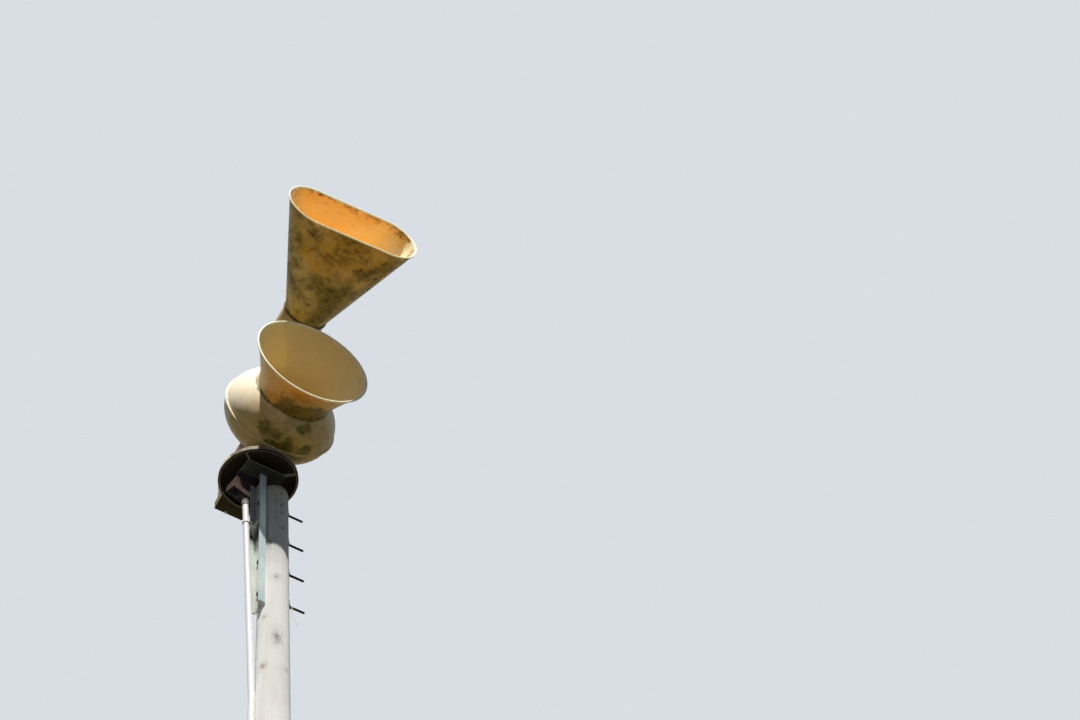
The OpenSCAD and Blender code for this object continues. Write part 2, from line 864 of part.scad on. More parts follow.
// Quarter bend and the level length of duct that carries the upper horn
module duct_bend() {
    color(fibreglass)
    on_head() {
        translate([0, -riser_ahead - duct_bend_r, riser_top])
            rotate([90, 0, 90])
                rotate_extrude(angle = 90)
                    translate([duct_bend_r, 0])
                        ring_2d(duct_r, duct_r - shell_t);
        translate([0, eps - riser_ahead - duct_bend_r, duct_up])
            rotate([90, 0, 0])
                linear_extrude(upper_throat_ahead - riser_ahead - duct_bend_r)
                    ring_2d(duct_r, duct_r - shell_t);
    }
}

module duct_collar() {
    color(fibreglass)
    on_head()
        translate([0, -upper_throat_ahead, duct_up])
            rotate([90, 0, 0])
                linear_extrude(collar_l)
                    ring_2d(duct_r + collar_h, duct_r - shell_t);
}

// Upper horn: round at the throat, a long slot with round ends at the mouth
module upper_horn() {
    count = 80;
    lip_l = 2 * lip_r;
    mouth_u = 1 - lip_l / (upper_mouth_ahead - horn_start);
    function ring(u, grow) = let (
            half = upper_half_flat * u,
            r = between(duct_r, upper_r - lip_r, u) + grow,
            y = -between(horn_start, upper_mouth_ahead, u),
            z = between(duct_up, upper_mouth_up, u))
        [for (i = [0 : count - 1]) let (a = (i + 0.5) * 360 / count)
            [(cos(a) > 0 ? half : -half) + r * cos(a), y, z + r * sin(a)]];
    rings = concat(
        [ring(0, 0), ring(mouth_u, 0)],
        [ring(mouth_u + (1 - mouth_u) * 0.15, lip_r * 0.7),
         ring(mouth_u + (1 - mouth_u) * 0.5, lip_r),
         ring(mouth_u + (1 - mouth_u) * 0.85, lip_r * 0.7),
         ring(1, 0),
         ring(mouth_u + (1 - mouth_u) * 0.85, -shell_t),
         ring(0, -shell_t)]);
    n = len(rings);
    points = [for (r = rings) each r];
    faces = [for (k = [0 : n - 1]) for (i = [0 : count - 1])
        let (a = k * count + i, b = k * count + (i + 1) % count,
             c = ((k + 1) % n) * count + (i + 1) % count, d = ((k + 1) % n) * count + i)
        each [[a, b, c], [a, c, d]]];
    color(fibreglass)
    on_head() polyhedron(points, faces);
}

pole_shaft();
mounting_channel();
top_plate();
through_bolt(0);  // through_bolt_1
through_bolt(1);  // through_bolt_2
through_bolt(2);  // through_bolt_3
through_bolt(3);  // through_bolt_4
bolt_nut(0);  // bolt_nut_1
bolt_nut(1);  // bolt_nut_2
bolt_nut(2);  // bolt_nut_3
bolt_nut(3);  // bolt_nut_4
spoke(0);  // spoke_1
spoke(1);  // spoke_2
spoke(2);  // spoke_3
bearing_housing();
hood();
gearbox();
gearbox_hanger();
outer_box();
outer_box_lid();
conduit_pole_run();
conduit_coupling();
conduit_top_run();
conduit_connector();
conduit_clip();
conduit_lead();
conduit_strap(0);  // conduit_strap_1
conduit_strap(1);  // conduit_strap_2
conduit_strap(2);  // conduit_strap_3
conduit_strap(3);  // conduit_strap_4
turning_shaft();
turntable();
base_plate();
motor_base();
saddle(0.12);  // saddle_front
saddle(0.7);  // saddle_rear
motor_case();
motor_end_cap();
ball_front();
ball_rear();
ball_seam();
stator_plate();
lower_horn();
riser_collar();
riser_pipe();
duct_bend();
duct_collar();
upper_horn();
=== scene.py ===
"""Outdoor warning siren on a timber pole: finishes and modelled pieces over the measured frame."""

import logging
import math
import random
from collections.abc import Callable, Iterable, Sequence
from dataclasses import dataclass, field
from enum import Enum

import bmesh
import bpy
from mathutils import Matrix, Vector, noise


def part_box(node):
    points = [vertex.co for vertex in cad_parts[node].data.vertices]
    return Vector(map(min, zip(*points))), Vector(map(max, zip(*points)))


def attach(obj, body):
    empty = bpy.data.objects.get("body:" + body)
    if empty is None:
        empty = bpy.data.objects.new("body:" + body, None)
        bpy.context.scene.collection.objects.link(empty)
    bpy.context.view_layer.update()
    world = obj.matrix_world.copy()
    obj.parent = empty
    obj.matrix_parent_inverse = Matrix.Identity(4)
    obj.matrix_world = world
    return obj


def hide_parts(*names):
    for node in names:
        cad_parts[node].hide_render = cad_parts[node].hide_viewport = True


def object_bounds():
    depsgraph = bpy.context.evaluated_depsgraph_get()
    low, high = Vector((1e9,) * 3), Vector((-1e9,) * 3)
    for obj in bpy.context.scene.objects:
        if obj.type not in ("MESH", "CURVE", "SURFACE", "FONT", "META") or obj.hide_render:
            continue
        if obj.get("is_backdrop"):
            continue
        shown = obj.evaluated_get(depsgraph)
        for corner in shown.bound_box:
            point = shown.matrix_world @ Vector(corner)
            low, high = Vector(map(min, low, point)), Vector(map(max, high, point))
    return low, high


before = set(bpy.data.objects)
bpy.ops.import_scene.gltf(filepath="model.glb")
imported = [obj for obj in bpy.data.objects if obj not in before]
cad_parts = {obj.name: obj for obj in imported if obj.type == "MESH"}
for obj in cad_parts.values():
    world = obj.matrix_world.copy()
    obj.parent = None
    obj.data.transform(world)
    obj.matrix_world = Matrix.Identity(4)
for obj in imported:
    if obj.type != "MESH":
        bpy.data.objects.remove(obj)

CAD_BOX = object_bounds()
LOG = logging.getLogger("siren")

Colour = tuple[float, float, float]
Point = tuple[float, float, float]
Outline = list[tuple[float, float]]
BMesh = bmesh.types.BMesh
Socket = bpy.types.NodeSocket


class Body(Enum):
    """The two bodies of the frame that pieces ride on."""

    MAST = "mast"
    HEAD = "head"


class Slot(Enum):
    """Material slot names."""

    TIMBER = "timber"
    GALVANISED = "galvanised_steel"
    DARK_STEEL = "dark_steel"
    TAN = "tan_laminate"
    HORN = "horn_laminate"
    GREY = "grey_paint"
    BROWN = "brown_paint"
    CONDUIT = "white_conduit"


class Facing(Enum):
    """Which way a turned outline's own height runs once it is in place."""

    UP = "up"
    AHEAD = "ahead"


# Where the head, the ball and the pole stand in the part's source, in metres

HEAD_TURN = math.radians(-5.5)
AXIS_X = -0.150
BALL_AHEAD = 0.275
BALL_SIDE = 0.070
POLE_TOP_R = 0.125
POLE_FOOT_R = 0.170


def node_middle(node: str) -> Vector:
    """Returns the middle of a node's box."""
    low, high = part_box(node)
    return (low + high) / 2


def turn_z(angle: float) -> Matrix:
    """Returns a turn about the upright axis."""
    return Matrix.Rotation(angle, 4, "Z")


def move_by(x: float, y: float, z: float) -> Matrix:
    """Returns a move along the three axes."""
    return Matrix.Translation((x, y, z))


def turn_by(degrees: float, axis: str) -> Matrix:
    """Returns a turn by degrees about an axis."""
    return Matrix.Rotation(math.radians(degrees), 4, axis)


BALL_Z = node_middle("ball_rear").z
ON_AXIS = move_by(AXIS_X, 0, 0)
ON_HEAD = ON_AXIS @ turn_z(HEAD_TURN) @ move_by(BALL_SIDE, -BALL_AHEAD, BALL_Z)
LOOK_AHEAD = turn_by(90, "X")


def srgb(red: int, green: int, blue: int) -> Colour:
    """Turns a screen colour of 0 to 255 into a linear one.

    Args:
        red: Red part.
        green: Green part.
        blue: Blue part.

    Returns:
        The linear colour.
    """
    def line(value: int) -> float:
        """Returns one part of the colour, made linear."""
        part = value / 255
        return part / 12.92 if part <= 0.04045 else ((part + 0.055) / 1.055) ** 2.4
    return line(red), line(green), line(blue)


def scaled(colour: Colour, part: float) -> Colour:
    """Returns a colour made darker or lighter."""
    return tuple(part * value for value in colour)


def between(first: Colour, second: Colour, part: float) -> Colour:
    """Returns the colour part of the way from one to another."""
    return tuple((1 - part) * a + part * b for a, b in zip(first, second))


# Shader graphs

class Graph:
    """A material's node tree with short ways to add and link its nodes."""

    def __init__(self, name: str) -> None:
        """Starts a material that holds one Principled shader.

        Args:
            name: The material's name.
        """
        self.material = bpy.data.materials.new(name)
        self.material.use_nodes = True
        self.tree = self.material.node_tree
        self.shader = next(n for n in self.tree.nodes if n.type == "BSDF_PRINCIPLED")
        self.place = self.add("ShaderNodeTexCoord").outputs["Object"]
        self.normal = self.add("ShaderNodeNewGeometry").outputs["Normal"]

    def add(self, kind: str, **settings: object) -> bpy.types.Node:
        """Adds a node and sets its properties.

        Args:
            kind: The node's type name.
            settings: Properties by name.

        Returns:
            The new node.
        """
        node = self.tree.nodes.new(kind)
        for name, value in settings.items():
            setattr(node, name, value)
        return node

    def feed(self, socket: Socket, value: object) -> None:
        """Links a socket to another, or sets its value."""
        if isinstance(value, bpy.types.NodeSocket):
            self.tree.links.new(value, socket)
        elif isinstance(value, tuple) and len(value) == 3 and socket.type == "RGBA":
            socket.default_value = (*value, 1.0)
        else:
            socket.default_value = value

    def stretch(self, scale: Point, shift: Point = (0.0, 0.0, 0.0)) -> Socket:
        """Returns Object coordinates that are scaled and shifted."""
        node = self.add("ShaderNodeMapping", vector_type="POINT")
        node.inputs["Scale"].default_value = scale
        node.inputs["Location"].default_value = shift
        self.feed(node.inputs["Vector"], self.place)
        return node.outputs["Vector"]

    def noise(self, scale: float, detail: float = 4.0, rough: float = 0.55,
              where: Socket | None = None, warp: float = 0.0) -> Socket:
        """Adds a noise texture.

        Args:
            scale: Waves in a metre.
            detail: Octaves.
            rough: Strength of the finer octaves.
            where: Coordinates, Object ones if none are given.
            warp: Distortion.

        Returns:
            The noise's value, about 0.3 to 0.7.
        """
        node = self.add("ShaderNodeTexNoise")
        self.feed(node.inputs["Vector"], where or self.place)
        node.inputs["Scale"].default_value = scale
        node.inputs["Detail"].default_value = detail
        node.inputs["Roughness"].default_value = rough
        node.inputs["Distortion"].default_value = warp
        return node.outputs["Fac"]

    def cells(self, scale: float) -> Socket:
        """Returns the distance of a Voronoi texture."""
        node = self.add("ShaderNodeTexVoronoi", feature="F1")
        self.feed(node.inputs["Vector"], self.place)
        node.inputs["Scale"].default_value = scale
        return node.outputs["Distance"]

    def math(self, operation: str, first: object, second: object) -> Socket:
        """Returns the result of a Math node."""
        node = self.add("ShaderNodeMath", operation=operation)
        self.feed(node.inputs[0], first)
        self.feed(node.inputs[1], second)
        return node.outputs[0]

    def times(self, first: object, second: object) -> Socket:
        """Returns two values multiplied."""
        return self.math("MULTIPLY", first, second)

    def plus(self, first: object, second: object) -> Socket:
        """Returns two values added."""
        return self.math("ADD", first, second)

    def band(self, value: Socket, low: float, high: float, start: float = 0.0, end: float = 1.0) -> Socket:
        """Spreads a value smoothly from one span to another.

        Args:
            value: What is spread.
            low: The value that gives start.
            high: The value that gives end.
            start: Result at low.
            end: Result at high.

        Returns:
            The spread value.
        """
        node = self.add("ShaderNodeMapRange", interpolation_type="SMOOTHSTEP")
        self.feed(node.inputs["Value"], value)
        for name, number in (("From Min", low), ("From Max", high), ("To Min", start), ("To Max", end)):
            node.inputs[name].default_value = number
        return node.outputs["Result"]

    def mix(self, part: object, first: object, second: object) -> Socket:
        """Returns two colours mixed by a part."""
        node = self.add("ShaderNodeMix", data_type="RGBA")
        self.feed(node.inputs[0], part)
        self.feed(node.inputs[6], first)
        self.feed(node.inputs[7], second)
        return node.outputs[2]

    def split(self, vector: Socket) -> tuple[Socket, Socket, Socket]:
        """Returns the three parts of a vector."""
        node = self.add("ShaderNodeSeparateXYZ")
        self.feed(node.inputs[0], vector)
        return node.outputs[0], node.outputs[1], node.outputs[2]

    def attribute(self, name: str) -> Socket:
        """Returns the value of a mesh attribute."""
        return self.add("ShaderNodeAttribute", attribute_name=name).outputs["Fac"]

    def bump(self, height: Socket, distance: float, strength: float = 1.0) -> None:
        """Adds relief to the shader on top of what it has.

        Args:
            height: The relief from 0 to 1.
            distance: Its depth in metres.
            strength: How much of it shows.
        """
        node = self.add("ShaderNodeBump")
        node.inputs["Strength"].default_value = strength
        node.inputs["Distance"].default_value = distance
        self.feed(node.inputs["Height"], height)
        links = self.shader.inputs["Normal"].links
        if links:
            self.feed(node.inputs["Normal"], links[0].from_socket)
        self.feed(self.shader.inputs["Normal"], node.outputs["Normal"])

    def finish(self, colour: object, rough: object, sheen: float = 0.15, chalk: float = 1.0,
               **sockets: object) -> bpy.types.Material:
        """Links the shader's colour and roughness and returns the material.

        Args:
            colour: Base colour.
            rough: Roughness.
            sheen: Strength of the mirror part, weak on weathered faces.
            chalk: How chalky the face is, which keeps its rounded edges pale.
            sockets: Other sockets of the shader, with underscores for spaces.

        Returns:
            The material.
        """
        self.feed(self.shader.inputs["Base Color"], colour)
        self.feed(self.shader.inputs["Roughness"], rough)
        self.shader.inputs["Specular IOR Level"].default_value = sheen
        self.shader.inputs["Diffuse Roughness"].default_value = chalk
        for name, value in sockets.items():
            self.feed(self.shader.inputs[name.replace("_", " ")], value)
        return self.material


# Finishes

@dataclass(frozen=True)
class Laminate:
    """Moulded glass-fibre laminate with a chalked gel coat: paler above and darker below, partly from
    sun-bleaching and partly painted light and shade, and mildewed below.
    """

    name: str
    bleached: Colour = srgb(242, 220, 178)
    shaded: Colour = srgb(198, 164, 92)
    stain: Colour = srgb(186, 108, 42)
    mildew: Colour = srgb(46, 40, 10)
    moss: Colour = srgb(112, 98, 34)
    stain_share: float = 0.35
    mildew_share: float = 0.5
    mildew_reach: float = -0.15
    speckle: float = 26.0
    glow: float = 0.0
    glow_reach: Point = (1.0, 0.74, 0.32)
    glow_depth: float = 0.022
    shift: Point = (0.0, 0.0, 0.0)

    def build(self) -> bpy.types.Material:
        """Returns the laminate's material."""
        g = Graph(self.name)
        where = g.stretch((1.0, 1.0, 1.0), shift=self.shift)
        up = g.split(g.normal)[2]
        drift = g.band(g.noise(3.1, 5, 0.6, where), 0.3, 0.7, -0.2, 0.2)
        # Faces that look up take the bleached colour and faces that look down take the shaded one. This is
        # partly sun-bleaching and partly painted light and shade.
        below = g.band(g.math("SUBTRACT", g.times(up, -1.0), drift), self.mildew_reach, 0.75)
        pale = between(self.shaded, self.bleached, 0.28)
        under = g.mix(g.band(g.noise(2.3, 4, 0.6, where), 0.35, 0.65), self.shaded, pale)
        ground = g.mix(below, self.bleached, under)
        rust = g.band(g.noise(2.7, 6, 0.65, g.stretch((1, 1, 1.3), shift=(4.1, 2.7, 1.3)), 0.4),
                      0.62 - 0.25 * self.stain_share, 0.80 - 0.25 * self.stain_share)
        ground = g.mix(g.times(g.times(rust, below), 0.8), ground, self.stain)
        cloud, spots = self.mottle(g, where, below)
        ground = g.mix(g.times(cloud, 0.7), ground, self.moss)
        ground = g.mix(g.times(spots, 0.85), ground, self.mildew)
        streak = g.band(g.noise(14, 4, 0.6, g.stretch((1.0, 1.0, 0.12), shift=(2.0, 0.4, 0.0))), 0.55, 0.75)
        ground = g.mix(g.times(streak, 0.22), ground, scaled(self.shaded, 0.45))
        rough = g.band(g.noise(40, 3, 0.5, where), 0.3, 0.7, 0.42, 0.62)
        g.bump(g.noise(5.0, 4, 0.5, where), 0.004, 0.25)
        g.bump(g.noise(180, 3, 0.6, where), 0.0006, 0.5)
        g.bump(spots, 0.0008, 0.6)
        return g.finish(ground, rough, chalk=0.4, Subsurface_Weight=self.glow,
                        Subsurface_Radius=self.glow_reach, Subsurface_Scale=self.glow_depth)

    def mottle(self, g: Graph, where: Socket, below: Socket) -> tuple[Socket, Socket]:
        """Adds the mildew: broad clouds, and the clumps and specks that they break up into.

        Args:
            g: The material's graph.
            where: Coordinates.
            below: How far a place faces down.

        Returns:
            The clouds' and the spots' strength from 0 to 1.
        """
        share = self.mildew_share
        soil = g.attribute("soil")
        cloud = g.band(g.noise(2.6, 5, 0.62, where, 0.6), 0.62 - 0.3 * share, 0.82 - 0.3 * share)
        cloud = g.times(cloud, g.times(below, min(1.0, share * 1.8)))
        ragged = g.band(g.plus(soil, g.band(g.noise(9, 6, 0.7, where), 0.3, 0.7, -0.35, 0.35)), 0.2, 0.7)
        cloud = g.math("MAXIMUM", cloud, g.times(ragged, g.math("GREATER_THAN", soil, 0.01)))
        clumps = g.band(g.noise(self.speckle * 0.42, 8, 0.74, where, 0.2), 0.45, 0.58)
        specks = g.band(g.noise(self.speckle * 1.7, 6, 0.72, where), 0.46, 0.60)
        broken = g.math("MAXIMUM", g.times(clumps, 0.9), g.times(specks, 0.65))
        return cloud, g.times(cloud, broken)


@dataclass(frozen=True)
class Paint:
    """Old paint on metal, faded and chipped, with rust in the chips."""

    name: str
    coat: Colour
    faded: Colour
    rust: Colour = srgb(92, 52, 30)
    chip_share: float = 0.3
    rough: float = 0.55

    def build(self) -> bpy.types.Material:
        """Returns the paint's material."""
        g = Graph(self.name)
        tone = g.mix(g.band(g.noise(5.0, 5, 0.6), 0.35, 0.65), self.coat, self.faded)
        dust = g.band(g.split(g.normal)[2], 0.2, 0.95)
        tone = g.mix(g.times(dust, 0.4), tone, self.faded)
        runs = g.band(g.noise(22, 4, 0.6, g.stretch((1.0, 1.0, 0.1))), 0.55, 0.75)
        tone = g.mix(g.times(runs, 0.45), tone, scaled(self.coat, 0.5))
        cloud = g.band(g.noise(4.5, 4, 0.6, g.stretch((1, 1, 1), shift=(3, 1, 2))), 0.5, 0.65)
        chips = g.band(g.noise(34, 7, 0.7), 0.66 - 0.16 * self.chip_share, 0.70 - 0.16 * self.chip_share)
        chips = g.times(chips, cloud)
        tone = g.mix(chips, tone, self.rust)
        rough = g.plus(g.times(g.noise(30, 3, 0.5), 0.3), self.rough - 0.15)
        g.bump(g.noise(60, 4, 0.6), 0.0008, 0.4)
        g.bump(g.math("SUBTRACT", 1.0, chips), 0.0006, 0.6)
        return g.finish(tone, rough)


@dataclass(frozen=True)
class Zinc:
    """Hot-dip galvanised steel gone dull, with spangle, bloom, rust and, in some, a dark band that is partly
    grime and partly painted shadow.
    """

    name: str = "galvanised"
    bright: Colour = srgb(200, 213, 212)
    dull: Colour = srgb(176, 193, 197)
    bloom: Colour = srgb(214, 224, 220)
    rust: Colour = srgb(110, 74, 48)
    rust_share: float = 0.2
    metal: float = 0.25
    # Colour of the dark band, which is partly grime and partly painted shadow.
    grime: Colour = srgb(38, 44, 38)
    grime_and_painted_shadow_span: tuple[float, float] | None = None
    grime_and_painted_shadow_edge: tuple[float, float] = (0.11, 0.12)
    grime_and_painted_shadow_share: float = 0.86
    grime_and_painted_shadow_left: float = 0.35

    def build(self) -> bpy.types.Material:
        """Returns the zinc's material."""
        g = Graph(self.name)
        spangle = g.band(g.cells(70), 0.15, 0.75, 0.25, 0.75)
        tone = g.mix(spangle, self.dull, self.bright)
        tone = g.mix(g.band(g.noise(6, 5, 0.6, g.stretch((1, 1, 0.35))), 0.42, 0.64), tone, self.bloom)
        rust = g.band(g.noise(9, 7, 0.7, g.stretch((1, 1, 0.5), shift=(1, 5, 2)), 0.3),
                      0.70 - 0.2 * self.rust_share, 0.80 - 0.2 * self.rust_share)
        tone = g.mix(g.times(rust, 0.8), tone, self.rust)
        # Painted shadow, partly grime: a dark band that fades in above the span's foot and thins again above
        # its top. It stands in for a cast shadow.
        if self.grime_and_painted_shadow_span:
            low, high = self.grime_and_painted_shadow_span
            height = g.plus(g.split(g.place)[2], g.times(g.noise(9, 5, 0.6), 0.08))
            foot, top = self.grime_and_painted_shadow_edge
            above = g.band(height, low, low + foot)
            below = g.band(height, high - top, high, 1.0, self.grime_and_painted_shadow_left)
            tone = g.mix(g.times(g.times(above, below), self.grime_and_painted_shadow_share), tone, self.grime)
        rough = g.band(spangle, 0, 1, 0.62, 0.46)
        g.bump(g.noise(120, 4, 0.6), 0.0004, 0.5)
        g.bump(g.noise(14, 3, 0.5), 0.0015, 0.3)
        return g.finish(tone, rough, 0.35 if self.metal else 0.1, Metallic=self.metal)


@dataclass(frozen=True)
class Iron:
    """Bare iron or steel, dark with old rust."""

    name: str
    dark: Colour = srgb(34, 32, 31)
    rust: Colour = srgb(82, 50, 34)
    rust_share: float = 0.4

    def build(self) -> bpy.types.Material:
        """Returns the iron's material."""
        g = Graph(self.name)
        patch = g.band(g.noise(26, 7, 0.7), 0.62 - 0.2 * self.rust_share, 0.76 - 0.2 * self.rust_share)
        tone = g.mix(patch, self.dark, self.rust)
        tone = g.mix(g.band(g.noise(90, 4, 0.6), 0.5, 0.7, 0.0, 0.4), tone, scaled(self.rust, 1.6))
        rough = g.band(patch, 0, 1, 0.5, 0.85)
        g.bump(g.noise(150, 5, 0.65), 0.0006, 0.6)
        return g.finish(tone, rough, Metallic=0.4)


@dataclass(frozen=True)
class Timber:
    """Bleached, pale-coated pole timber with upright grain, checks, knots, nail holes painted dark as shade,
    a top greyed partly as painted shade, and a stained top.
    """

    top_z: float
    name: str = "pole_timber"
    bleached: Colour = srgb(244, 243, 240)
    grain_tone: Colour = srgb(230, 227, 220)
    broad_tone: Colour = srgb(234, 228, 218)
    blotch_tone: Colour = srgb(222, 220, 214)
    check_tone: Colour = srgb(158, 148, 134)
    hole_shade_tone: Colour = srgb(50, 46, 42)
    smudge_tone: Colour = srgb(138, 128, 114)
    top_grey_and_shade_tone: Colour = srgb(150, 150, 148)
    foot_tone: Colour = srgb(122, 112, 92)
    tar: Colour = srgb(122, 104, 80)

    def build(self) -> bpy.types.Material:
        """Returns the timber's material."""
        g = Graph(self.name)
        fine = g.noise(60, 6, 0.65, g.stretch((1.0, 1.0, 0.03)), 0.2)
        broad = g.noise(9, 5, 0.6, g.stretch((1.0, 1.0, 0.08)))
        tone = g.mix(g.band(fine, 0.42, 0.66, 0.0, 0.2), self.bleached, self.grain_tone)
        tone = g.mix(g.band(broad, 0.5, 0.72, 0.0, 0.3), tone, self.broad_tone)
        blotch = g.band(g.noise(2.2, 5, 0.6, g.stretch((1.0, 1.0, 0.5))), 0.48, 0.7, 0.0, 0.5)
        tone = g.mix(blotch, tone, self.blotch_tone)
        pit = g.attribute("pit")
        tone = g.mix(g.band(pit, 0.2, 0.9, 0.0, 0.65), tone, self.check_tone)
        # Nail holes are painted near-black, standing in for the shade inside them.
        tone = g.mix(g.band(pit, 1.02, 1.3), tone, self.hole_shade_tone)
        cloud = g.band(g.noise(38, 6, 0.7, g.stretch((1, 1, 0.4))), 0.34, 0.6)
        tone = g.mix(g.times(g.attribute("smudge"), cloud), tone, self.smudge_tone)
        height = g.split(g.place)[2]
        # The pole greys towards its top: partly weathering, partly painted shade under the hood.
        grey = g.band(g.plus(height, g.noise(4, 4, 0.6)), self.top_z - 0.9, self.top_z + 0.5, 0.0, 0.55)
        tone = g.mix(grey, tone, self.top_grey_and_shade_tone)
        ragged = g.plus(height, g.times(g.noise(18, 4, 0.6), 0.16))
        top = g.band(ragged, self.top_z - 0.03, self.top_z + 0.09)
        tone = g.mix(g.times(top, 0.75), tone, self.tar)
        foot = g.band(g.plus(height, g.times(g.noise(7, 5, 0.6), 0.9)), 0.35, 1.25, 0.75, 0.0)
        tone = g.mix(foot, tone, self.foot_tone)
        rough = g.band(fine, 0.3, 0.7, 0.72, 0.9)
        g.bump(fine, 0.0020, 0.25)
        g.bump(g.noise(260, 3, 0.6, g.stretch((1.0, 1.0, 0.05))), 0.0006, 0.6)
        return g.finish(tone, rough)


@dataclass(frozen=True)
class Plastic:
    """Dull white conduit, a little dirty and chalked."""

    name: str = "conduit_white"
    clean: Colour = srgb(251, 252, 251)
    dirty: Colour = srgb(222, 222, 214)

    def build(self) -> bpy.types.Material:
        """Returns the conduit's material."""
        g = Graph(self.name)
        dirt = g.band(g.noise(7, 6, 0.65, g.stretch((1, 1, 0.2))), 0.5, 0.75, 0.0, 0.55)
        specks = g.band(g.noise(70, 4, 0.6), 0.66, 0.72, 0.0, 0.5)
        tone = g.mix(g.math("MAXIMUM", dirt, specks), self.clean, self.dirty)
        rough = g.band(g.noise(25, 3, 0.5), 0.3, 0.7, 0.38, 0.56)
        g.bump(g.noise(90, 3, 0.6), 0.0003, 0.4)
        return g.finish(tone, rough, 0.4)


class Finishes:
    """All finishes of the siren, built once."""

    def __init__(self) -> None:
        """Builds every material."""
        self.ball = Laminate("ball_laminate", bleached=srgb(255, 240, 214), shaded=srgb(208, 172, 72),
                             moss=srgb(132, 118, 36), mildew=srgb(88, 84, 18), mildew_share=0.34,
                             mildew_reach=0.06, stain_share=0.15, speckle=34.0, glow=0.1).build()
        self.hood = Laminate("hood_laminate", bleached=srgb(234, 224, 200), shaded=srgb(206, 192, 150),
                             moss=srgb(98, 88, 50), mildew=srgb(70, 62, 32), mildew_share=0.3,
                             mildew_reach=0.1, stain_share=0.1, shift=(2.0, 3.0, 0.0)).build()
        self.lower_out = Laminate("lower_horn_outside", bleached=srgb(246, 216, 160),
                                  shaded=srgb(224, 174, 76), stain=srgb(212, 138, 52),
                                  moss=srgb(108, 88, 22), mildew=srgb(92, 78, 18), mildew_share=0.2,
                                  mildew_reach=0.3, stain_share=0.5, glow=0.2, shift=(5.0, 1.0, 2.0)).build()
        # The mouth's inside is near white and paler than the outside, standing in for the light inside the
        # mouth: partly painted light.
        self.lower_in = Laminate("lower_horn_inside", bleached=srgb(255, 232, 180),
                                 shaded=srgb(255, 230, 168), mildew_share=0.04, stain_share=0.0,
                                 glow=0.12).build()
        self.upper_out = Laminate("upper_horn_outside", bleached=srgb(232, 226, 200),
                                  shaded=srgb(216, 184, 76), stain=srgb(206, 122, 34),
                                  moss=srgb(140, 122, 38), mildew=srgb(76, 62, 16), mildew_share=0.62,
                                  mildew_reach=-1.1, stain_share=0.45, speckle=44.0, glow=0.15,
                                  shift=(1.0, 7.0, 3.0)).build()
        self.upper_in = Laminate("upper_horn_inside", bleached=srgb(255, 230, 190),
                                 shaded=srgb(240, 194, 110), moss=srgb(176, 130, 54),
                                 mildew=srgb(96, 66, 20), mildew_share=0.1, mildew_reach=0.2,
                                 stain_share=0.0, glow=0.65).build()
        # The lips' gel coat is near white so they read bright where they lie in shade: a painted highlight.
        self.rim = Laminate("rim_gel_coat_painted_highlight", bleached=srgb(255, 244, 220), shaded=srgb(255, 240, 206),
                            mildew_share=0.0, stain_share=0.0, glow=0.4).build()
        self.duct = Laminate("duct_laminate", bleached=srgb(218, 196, 146), shaded=srgb(176, 146, 82),
                             mildew_share=0.4, stain_share=0.3, shift=(8.0, 2.0, 1.0)).build()
        # A darker laminate for the collar that stands in for the shade round the joint: painted shade.
        self.collar = Laminate("collar_laminate_painted_shade", bleached=srgb(128, 106, 66), shaded=srgb(88, 70, 36),
                               mildew_share=0.6, stain_share=0.3).build()
        # The pan's inside is painted near-black as shade. The band under its bead is near-black painted
        # shade, and the pale line on the bead's inner edge is a painted highlight.
        self.hood_in = Paint("hood_inside_painted_shade", srgb(40, 30, 22), srgb(52, 41, 29),
                             chip_share=0.1, rough=0.85).build()
        self.hood_lip_painted_highlight = Paint("hood_lip_painted_highlight", srgb(158, 140, 116), srgb(182, 164, 134),
                              chip_share=0.3, rough=0.7).build()
        self.hood_edge_painted_shade = Paint("hood_edge_painted_shade", srgb(26, 22, 19), srgb(40, 34, 28),
                               chip_share=0.1, rough=0.7).build()
        # Near-black painted shade for the bearing under the hood.
        self.shade = Paint("bearing_painted_shade", srgb(34, 30, 26), srgb(46, 41, 35),
                           chip_share=0.2, rough=0.85).build()
        # Near-black painted shade for the far part of the plate's underside and for the hanger.
        self.plate_painted_shade = Paint("plate_painted_shade", srgb(30, 20, 26), srgb(40, 28, 32),
                                 chip_share=0.1, rough=0.85).build()
        self.grey = Paint("grey_paint", srgb(206, 190, 180), srgb(226, 214, 204), chip_share=0.5).build()
        # The gear box's sides are a near-white pink so they read bright under the hood, which is partly
        # painted light. Its underside is near-black, partly grime and partly painted shade.
        self.brown = Paint("gear_box_paint", srgb(255, 232, 232), srgb(255, 242, 240), srgb(146, 100, 84),
                           chip_share=0.3, rough=0.7).build()
        self.brown_under = Paint("gear_box_grime_and_shade", srgb(42, 28, 26), srgb(56, 38, 34), srgb(30, 20, 16),
                                 chip_share=0.4, rough=0.8).build()
        # The outer box's underside is darker than its sides, partly grime and partly painted shade.
        self.box = Paint("outer_box_paint", srgb(150, 140, 106), srgb(176, 166, 130), srgb(76, 62, 34),
                         chip_share=0.5, rough=0.7).build()
        self.box_under = Paint("outer_box_grime_and_shade", srgb(66, 55, 26), srgb(94, 80, 40), srgb(34, 26, 12),
                               chip_share=0.7, rough=0.8).build()
        self.zinc = Zinc().build()
